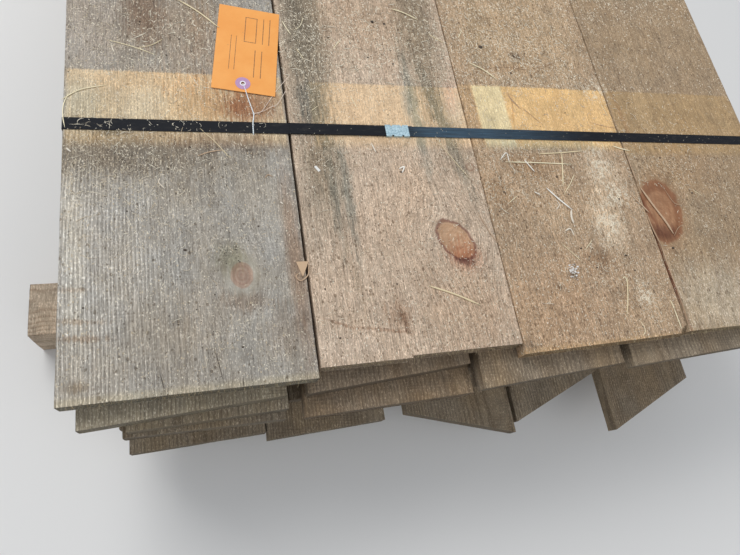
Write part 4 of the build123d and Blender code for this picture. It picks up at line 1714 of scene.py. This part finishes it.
# %% Lay the straws, splinters and shavings
STRAWS = (
    (((429, 286), (455, 294.5), (480, 305)), 1.15, 0.2),
    (((200, 129), (214, 141), (230, 158)), 0.4, 0.3),
    (((435, 137), (450, 156), (470, 179)), 0.42, 0.3),
    (((538, 154), (560, 153), (583, 151)), 0.85, 0.2),
    (((505, 162), (540, 163), (571, 164.4)), 0.75, 0.2), (((561.5, 152.6), (563, 187)), 0.8, 0.3),
    (((627, 278), (627.5, 298), (626.8, 315)), 0.8, 0.2),
    (((574, 174), (570, 184), (564, 194)), 0.5, 0.2),
    (((561, 243), (570, 251), (582, 262)), 0.5, 0.2),
    (((612, 146), (621, 149), (630, 151)), 0.9, 0.2),
    (((178, 0), (198, 12), (219, 28)), 0.95, 0.2),
    (((391, 9), (403, 13), (417.5, 20)), 0.95, 0.2),
    (((428, 34), (436, 39), (444, 43)), 0.6, 0.2), (((469, 63), (483, 70), (497, 80)), 1.0, 0.3),
    (((674, 309), (678, 320), (681.5, 329)), 0.7, 0.2),
    (((600, 103), (604, 110), (607.5, 116)), 0.5, 0.1),
    (((670, 300), (672, 304), (674, 309)), 0.7, 0.1),
    (((333, 49), (336, 45), (340, 41)), 0.5, 0.1), (((61, 100), (80, 90), (107, 85)), 0.6, 0.5),
    (((108, 40), (130, 46), (156, 55)), 0.55, 0.2),
    (((138, 48), (152, 45), (163, 39)), 0.45, 0.2),
    (((282, 21), (286, 28), (291, 35)), 0.55, 0.2),
    (((294, 30), (300, 26), (303, 18)), 0.35, 0.2), (((296, 48), (304, 60)), 0.4, 0.1),
    (((622.5, 279), (625, 277), (628, 285)), 0.5, 0.1),
    (((640, 320), (645, 330), (643, 336)), 0.4, 0.1), (((585, 250), (592, 240)), 0.4, 0.1),
    (((517, 196), (509, 203)), 0.4, 0.1), (((693, 190), (702, 196)), 0.4, 0.1),
    (((350, 96), (357, 108)), 0.4, 0.1), (((311, 111), (318, 106)), 0.4, 0.1),
    (((458, 38), (462, 30)), 0.5, 0.1), (((68, 94), (63.5, 105), (63, 117), (65, 128)), 0.5, 0.5),
)
SPLINTERS = (
    (((640, 188), (652, 205), (665, 222), (673, 234)), 1.9, 0.4),
    (((630, 194), (640, 204), (649, 213)), 1.2, 0.2),
    (((626, 154), (631, 168), (637, 183)), 1.1, 0.2),
    (((646, 213), (652, 228), (661, 246)), 1.3, 0.1),
    (((661, 246), (668, 266), (676, 288)), 1.1, 0.1),
    (((676, 288), (682, 305), (688, 325)), 1.0, 0.1),
    (((664, 189), (675, 204), (684, 201), (682.5, 176)), 0.45, 0.6),
    (((521, 107), (532, 116), (542, 124)), 0.4, 0.2),
    (((589, 122), (603, 126), (617, 128.5)), 0.35, 0.3),
    (((507, 92), (512, 100), (521, 109)), 0.5, 0.1),
    (((198, 156), (210, 152), (224, 150)), 0.7, 0.1),
    (((265, 178), (268, 175), (273, 177)), 0.6, 0.3),
    (((478, 213), (492, 236), (505, 250)), 0.6, 0.2),
    (((674, 236), (678, 228), (684, 224)), 0.6, 0.2),
    (((484, 69), (504, 67), (528, 70)), 0.4, 0.2), (((534, 74), (544, 67), (554, 63)), 0.5, 0.2),
    (((506, 92), (511, 100), (520, 109)), 0.4, 0.1),
    (((309, 264), (308, 275), (301, 281), (296, 277), (299, 273)), 0.8, 1.0),
)
SHAVINGS = (
    (((546, 188), (558, 199), (572, 210)), 1.3, 0.4),
    (((571, 210), (571, 217), (573.5, 224)), 1.6, 0.3),
    (((565, 231), (570, 229), (574, 236)), 1.1, 0.5),
    (((524, 160), (529, 166), (534.5, 172)), 1.2, 0.4),
    (((160, 178), (159, 183), (165, 189)), 0.7, 0.5), (((534, 192), (540, 195)), 1.1, 0.2),
    (((280, 202), (283, 204)), 0.9, 0.1), (((556, 200), (559, 205), (556, 210)), 0.7, 0.3),
    (((500, 160), (506, 153), (509, 162)), 0.7, 0.4), (((371, 143), (376, 153)), 0.8, 0.2),
    (((399, 169), (404, 167), (402, 173)), 1.0, 0.3), (((66, 148), (71, 152)), 0.8, 0.1),
)
draw = np.random.default_rng(5)
lay_straws("straws", STRAWS, straw_material, draw, 0.6, 1.35)
lay_straws("splinters", SPLINTERS, splinter_material, draw, 0.6, 1.1)
lay_straws("shavings", SHAVINGS, shaving_material, draw, 0.4, 1.2)

# %% [markdown]
# ## Chips, crumbs and resin
# A peach-coloured triangular chip lies on the first board with a brown curl of bark, and a
# white one on the second. Bark crumbs and earth lie everywhere as dark dots. The third
# board's resin spot is a crust of pale and dark lumps.

# %% Add the chips, crumbs and resin
CHIPS = (
    ("peach_chip", ((296, 262), (303, 277), (308.5, 261.5)), 1.1,
     (0.66, 0.47, 0.30), (0.44, 0.28, 0.17)),
    ("white_chip", ((314, 167), (318.5, 172), (320.5, 170.5), (316, 165.8)), 1.0,
     (0.85, 0.84, 0.80), (0.7, 0.68, 0.62)),
)
CRUMBS = (
    (190, 147, 2.2), (127, 211, 2.0), (138, 213, 1.2), (185, 250, 2.6), (83, 308, 1.8),
    (169, 316, 1.4), (397, 284, 2.2), (325, 289, 2.2), (387, 205, 1.8), (388, 115, 1.5),
    (581, 248.5, 2.6), (626, 255.5, 3.0), (597, 267.5, 2.4), (601, 274, 2.2), (619, 199, 3.2),
    (504, 192, 2.6), (557, 177, 2.4), (636, 306, 1.6), (660, 158, 2.8), (673, 248, 3.6),
    (384, 24, 3.2), (398, 30, 2.2), (427, 28.5, 1.6), (368, 57.5, 1.8), (393, 64, 2.6),
    (418, 45, 1.6), (480.5, 47, 7.5), (513, 56, 2.6), (524, 54, 2.4), (490, 38.6, 2.0),
    (510.7, 54, 1.6), (510.7, 73, 2.6), (531, 76, 2.2), (372, 22, 5.0), (565, 113, 2.0),
    (547, 113, 1.2), (516, 188, 1.8), (692, 193, 2.6), (684, 167, 1.8), (709, 206, 1.8),
    (401, 172, 2.4), (382, 240, 1.6), (179, 39, 1.8), (214, 32, 2.4), (432, 250, 1.2),
    (570, 262, 1.5), (690, 214, 1.4), (500, 178, 2.0), (512, 172, 1.8), (520, 181, 1.6),
    (607, 286, 1.4), (240, 262, 1.5), (222, 262, 1.2), (236, 258, 1.4), (467, 61, 2.0),
    (461, 45, 1.6), (378, 88, 1.4), (330, 100, 1.4), (646, 265, 1.5),
)
CRUMB_ZONES = (
    ((510, 182), 26, 90), ((540, 60), 80, 70), ((330, 80), 60, 70), ((440, 80), 60, 80),
    ((100, 165), 60, 60), ((240, 256), 14, 26), ((590, 260), 50, 40), ((150, 60), 90, 50),
    ((420, 270), 60, 50), ((620, 180), 60, 40), ((600, 320), 60, 24), ((240, 320), 60, 20),
    ((690, 180), 60, 24), ((200, 220), 90, 40),
)
RESIN_SPOT, RESIN_LUMPS = (573.5, 271), 40

for name, pixels, thickness, light, dark in CHIPS:
    outline = [on_boards(*pixel) for pixel in pixels]
    level = max(ground(*spot) for spot in outline)
    parts = [slab(outline, level - 0.05, level + thickness)]
    add_bits(name, parts, [0.3], loose_material(name, light, dark), smooth=False)

parts, tones = [], []
for *pixel, size in CRUMBS:
    x, y = on_boards(*pixel)
    level = ground(x, y)
    if level > -2:
        width, length = size * draw.uniform(0.6, 1.0), size * draw.uniform(0.45, 0.8)
        height = min(1.5, size * 0.45)
        centre = Vector((x, y, level + height * 0.3))
        parts.append(lump(centre, (width, length, height), draw))
        tones.append(draw.uniform(0, 1))
for pixel, reach, amount in CRUMB_ZONES:
    for x, y in scattered(draw, pixel, reach, reach, amount):
        level = ground(x, y)
        off = not (5 < x < 1200 and 5 < y) or under_tag(x, y)
        if off or not -2 < level < HIGHEST_DUST:
            continue
        size = draw.lognormal(math.log(0.75), 0.4)
        centre = Vector((x, y, level + size * 0.1))
        parts.append(lump(centre, (size, size * 0.7, size * 0.45), draw, 3, 5))
        tones.append(draw.uniform(0, 1))
add_bits("bark_crumbs", parts, tones, bark_material)

resin_x, resin_y = on_boards(*RESIN_SPOT)
parts, tones = [], []
for _ in range(RESIN_LUMPS):
    x, y = draw.normal(resin_x, 4.2), draw.normal(resin_y + 1.5, 4.4)
    size = draw.uniform(1.2, 2.6)
    parts.append(lump(Vector((x, y, 0.2)), (size, size * 0.8, min(1.9, size * 0.7)), draw))
    tones.append(draw.beta(0.7, 1.6))
add_bits("resin_crust", parts, tones, resin_material)

# %% [markdown]
# ## Strap and seals
# The strap is black plastic band, rolled with a fine raised pattern so that a seal grips
# it. Dust sits on it. The stretch right of the seal is smoother, and a painted blue-grey
# sheen there stands for the sky's reflection. The seal is a galvanised steel clip: dull pale
# blue zinc with a faint cloudy bloom. Both keep the solid model's meshes and get only a
# finish, and the pattern, finer than any grid here, is bump.


# %% Finish the strap and the seals
def paint_nodes(material, *nodes):
    """Puts a material on meshes that came with the frame."""
    for node in nodes:
        mesh = frame["nodes"][node].data
        mesh.materials.clear()
        mesh.materials.append(material)


PAINTED_SHEEN_RISE, PAINTED_SHEEN_FALL = (470, 540), (860, 620)
KNURL = 3.1
strap_material, tree, shader = new_material("strap_plastic")
here = tape(tree)
parts = split(tree, here)
painted_sheen_stretch = between(tree, parts[0], PAINTED_SHEEN_RISE, PAINTED_SHEEN_FALL)
sheen_streaks = noise(tree, here, (0.02, 0.9, 0.02), 4, 0.6)
painted_sheen_share = times(tree, painted_sheen_stretch, ramp(tree, sheen_streaks, 0.35, 0.65, 0.35, 1.0))
# Painted reflection: the blue-grey colour right of the seal stands for the sky's sheen.
colour = mix(tree, painted_sheen_share, (0.009, 0.010, 0.014), (0.06, 0.11, 0.16))
film = ramp(tree, noise(tree, here, (0.05, 0.2, 0.05), 4, 0.65), 0.5, 0.8, 0.0, 0.10)
colour = mix(tree, film, colour, (0.30, 0.27, 0.21))
dust = dots(tree, here, 0.03, 2.0, 0.26)
colour = mix(tree, dust["Mask"], colour, (0.62, 0.56, 0.44))
along_strap = calc(tree, "ADD", parts[0], parts[2])
one_way, other_way = (
    calc(tree, "SINE", times(tree, calc(tree, operation, along_strap, parts[1]), KNURL))
    for operation in ("ADD", "SUBTRACT")
)
roughness = times_plus(tree, painted_sheen_stretch, -0.12, 0.5)
finish(tree, shader, colour, roughness, times(tree, one_way, other_way), 0.00012)
shader.inputs["Specular IOR Level"].default_value = 0.16
paint_nodes(strap_material, "strap_near", "strap_far")

seal_material, tree, shader = new_material("seal_zinc")
here = tape(tree)
bloom = noise(tree, here, 0.35, 4, 0.6)
colour = mix(tree, ramp(tree, bloom, 0.35, 0.65), (0.34, 0.50, 0.57), (0.58, 0.76, 0.83))
grime = ramp(tree, noise(tree, here, (0.2, 0.6, 0.2), 3), 0.58, 0.75, 0.0, 0.45)
colour = mix(tree, grime, colour, (0.20, 0.20, 0.18))
finish(tree, shader, colour, ramp(tree, bloom, 0.3, 0.7, 0.36, 0.55), bloom, 0.0003)
shader.inputs["Metallic"].default_value = 0.35
paint_nodes(seal_material, "seal_near", "seal_far")
print("materials", strap_material.name, seal_material.name)

# %% [markdown]
# ## Tag
# A stiff orange card with a mauve paper ring round its hole. It is blank, with an empty
# box and a few ruled lines to write on. An image could hold them, but as boxes in the
# material they stay sharp. They follow the card's own directions, which are turned a
# little.

# %% Finish the tag and its ring
TAG_HOLE = (45.5, 16.0, 0.0)
INK = (0.17, 0.075, 0.03)
RULES = (
    (70.2, 98, 71.6, 152), (80.2, 98, 81.6, 152), (59.8, 30, 61.2, 84),
    (70.2, 30, 71.6, 84), (30.0, 40, 31.0, 108), (22.0, 40, 23.0, 108),
)
EMPTY_BOX = ((42.0, 98, 61.0, 150), (43.4, 99.4, 59.6, 148.6))
HOLE_EDGE = (4.9, 4.1)


def card_place(tree):
    """Place in millimetres across and along the card from its near left corner."""
    offset = vector_calc(tree, "SUBTRACT", tape(tree), TAG_CORNER)
    inputs = {"Vector": offset, "Angle": TAG_TURN}
    return add_node(tree, "ShaderNodeVectorRotate", inputs, rotation_type="Z_AXIS")


def inside_box(tree, parts, box):
    """1 inside a box of the card, 0 outside."""
    in_box = 1.0
    for axis in (0, 1):
        for operation, limit in (("GREATER_THAN", box[axis]), ("LESS_THAN", box[axis + 2])):
            in_box = times(tree, in_box, calc(tree, operation, parts[axis], limit))
    return in_box


tag_material, tree, shader = new_material("tag_card")
here, parts = tape(tree), split(tree, card_place(tree))
cloud = noise(tree, here, 0.02, 4, 0.6)
colour = mix(tree, ramp(tree, cloud, 0.3, 0.7), (0.88, 0.345, 0.06), (0.94, 0.41, 0.09))
fibres = noise(tree, here, 0.9, 3, 0.6)
colour = mix(tree, ramp(tree, fibres, 0.3, 0.7, 0.0, 0.12), colour, (0.60, 0.26, 0.08))
outer, inner = (inside_box(tree, parts, box) for box in EMPTY_BOX)
ink = calc(tree, "SUBTRACT", outer, inner)
for rule in RULES:
    ink = calc(tree, "ADD", ink, inside_box(tree, parts, rule), clamp=True)
worn = ramp(tree, noise(tree, here, 0.6, 3), 0.3, 0.55, 0.45, 0.85)
colour = mix(tree, times(tree, ink, worn), colour, INK)
specks = dots(tree, here, 0.03, 3.2, 0.2)
colour = mix(tree, times(tree, specks["Mask"], 0.6), colour, (0.45, 0.24, 0.10))
finish(tree, shader, colour, 0.55, fibres, 0.00006)
paint_nodes(tag_material, "tag")

ring_material, tree, shader = new_material("tag_ring_paper")
off_hole = vector_calc(tree, "SUBTRACT", card_place(tree), TAG_HOLE)
away = vector_calc(tree, "LENGTH", stretch(tree, off_hole, 1, 1, 0), output=1)
cloud = noise(tree, tape(tree), 0.3, 3)
colour = mix(tree, cloud, (0.40, 0.22, 0.40), (0.56, 0.34, 0.54))
colour = mix(tree, ramp(tree, away, *HOLE_EDGE), colour, (0.86, 0.84, 0.90))
finish(tree, shader, colour, 0.6, cloud, 0.00008)
paint_nodes(ring_material, "tag_ring")
print("materials", tag_material.name, ring_material.name)

# %% [markdown]
# ## Tie wire
# Two thin zinc-coated wires come up through the tag's hole, twist round each other down to
# a knot, and hook over the strap. The solid model has this as one plain thick wire, so the
# twisted pair stands for it here: two tubes wound round one path. Two springy free ends
# stick out of the knot.

# %% Twist the tie wire
STRAND, PITCH = 0.40, 6.5
THIN, THICK = STRAND * 0.9, STRAND * 1.18
END_RADIUS = 0.42
HOLE_SPOT = Vector((244.98, 460.21, 0))
KNOT_SPOT = Vector((256.5, 405.2, 0))
WIRE_RISE = 2.4 * STRAND
FROM_HOLE = (
    (0, 0.8), (1.4, 1.7), (4.5, 2.52), (10, 2.54), (15, 2.52), (20, 0.9 + WIRE_RISE),
    (28, 0.2 + WIRE_RISE), (53, 0.25 + WIRE_RISE),
)
STRAP_SPOT = (253.4, 381.0)
FREE_ENDS = (
    ((256.8, 405.8, 1.1), (267.5, 409.0, 0.9), (282.0, 429.5, 0.9), (297.0, 452.0, 1.3),
     (318.0, 478.0, 2.5)),
    ((256.8, 404.9, 1.3), (272.5, 411.0, 1.7), (283.5, 418.0, 1.9), (294.0, 424.0, 1.8),
     (309.0, 448.5, 2.1)),
)


def twist(path, girths, pitch, thread):
    """A path that winds round another path, one of two strands side by side."""
    wound, travelled = [], 0.0
    for step, centre in enumerate(path):
        across, over = sides_of(path, step)
        if step:
            travelled += (centre - path[step - 1]).length
        angle = 2 * math.pi * travelled / pitch + math.pi * thread
        around = across * math.cos(angle) + over * math.sin(angle)
        wound.append(centre + around * girths[step])
    return wound


run = (KNOT_SPOT - HOLE_SPOT).normalized()
strap_level = ground(*STRAP_SPOT)
over_strap = strap_level + WIRE_RISE
points = [HOLE_SPOT + run * far + UP * up for far, up in FROM_HOLE]
points += [
    (*KNOT_SPOT.xy, 0.35 + WIRE_RISE), (255.4, 396.0, 0.6 + WIRE_RISE),
    (254.2, 390.6, over_strap), (*STRAP_SPOT, over_strap), (253.1, 371.4, over_strap),
    (253.1, 369.4, 0.7), (253.6, 369.6, 0.4),
]
path = smooth_path(points, 12)
girths = np.interp(np.arange(len(path)), (0, 48, 72), (THIN, THIN, THICK))
parts = [tube(twist(path, girths, PITCH, thread), girths, 8) for thread in (0, 1)]
around_knot = [
    KNOT_SPOT + Vector((math.cos(t) * 0.9, t * 0.35 - 1.6, 0.25 + WIRE_RISE + math.sin(t) * 0.9))
    for t in np.arange(0, 9.5, 0.35)
]
parts.append(tube(around_knot, [THIN] * len(around_knot), 8))
wire = add_bits("tag_wire_twist", parts, [0.25] * 3, wire_material, "tag_wire")
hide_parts("tag_wire")

end_paths = [smooth_path(stops, 10) for stops in FREE_ENDS]
parts = [tube(path, [END_RADIUS] * len(path), 6) for path in end_paths]
add_bits("tag_wire_ends", parts, [0.3] * 2, end_material, "tag_wire")
print("strap level", round(strap_level, 2))

# %% [markdown]
# ## Floor and light
# A studio set: a pale floor that keeps the bundle's shadow, a wide soft lamp above the far
# left side, a weaker one in front, and a pale world. The photograph is lit by open sky from
# behind, so the ends of the boards stay darker than their tops. The camera sees the floor
# nearly white by its own colour, not by more light.

# %% Make the floor, the lamps and the world
FLOOR_SIZE = 16.0
FLOOR_COLOUR = (0.80, 0.79, 0.77, 1)
SKY_COLOUR, SKY_STRENGTH = (0.86, 0.90, 0.96, 1), 0.55
LAMP_AIM = Vector((0, -0.6, 0.3))

floor_mesh = bpy.data.meshes.new("floor")
half = FLOOR_SIZE / 2
floor_mesh.from_pydata(
    [(-half, -half, 0), (half, -half, 0), (half, half, 0), (-half, half, 0)], [], [(0, 1, 2, 3)]
)
floor = bpy.data.objects.new("floor", floor_mesh)
bpy.context.scene.collection.objects.link(floor)
floor_material, _, shader = new_material("floor_paint")
shader.inputs["Base Color"].default_value = FLOOR_COLOUR
shader.inputs["Roughness"].default_value = 0.9
floor_mesh.materials.append(floor_material)
floor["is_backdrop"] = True


def add_lamp(name, position, size, power):
    """A square soft lamp that points at the bundle."""
    lamp_data = bpy.data.lights.new(name, "AREA")
    lamp_data.shape = "SQUARE"
    lamp_data.size = size
    lamp_data.energy = power
    lamp = bpy.data.objects.new(name, lamp_data)
    lamp.location = position
    lamp.rotation_euler = (LAMP_AIM - lamp.location).to_track_quat("-Z", "Y").to_euler()
    bpy.context.scene.collection.objects.link(lamp)


add_lamp("sky_lamp", (-1.6, 1.2, 3.2), 2.2, 85)
add_lamp("front_lamp", (1.6, -3.2, 2.6), 2.6, 22)

world = bpy.data.worlds.new("studio")
bpy.context.scene.world = world
world.use_nodes = True
background = world.node_tree.nodes["Background"]
background.inputs["Color"].default_value = SKY_COLOUR
background.inputs["Strength"].default_value = SKY_STRENGTH
bpy.context.scene.view_settings.view_transform = "Standard"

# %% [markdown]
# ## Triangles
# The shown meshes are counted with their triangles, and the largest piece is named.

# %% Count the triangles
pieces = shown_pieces()
triangles = {o.name: sum(len(face.vertices) - 2 for face in o.data.polygons) for o in pieces}
largest = max(triangles, key=triangles.get)
print(len(pieces), "meshes,", sum(triangles.values()), "triangles")
print("largest piece", largest, triangles[largest])
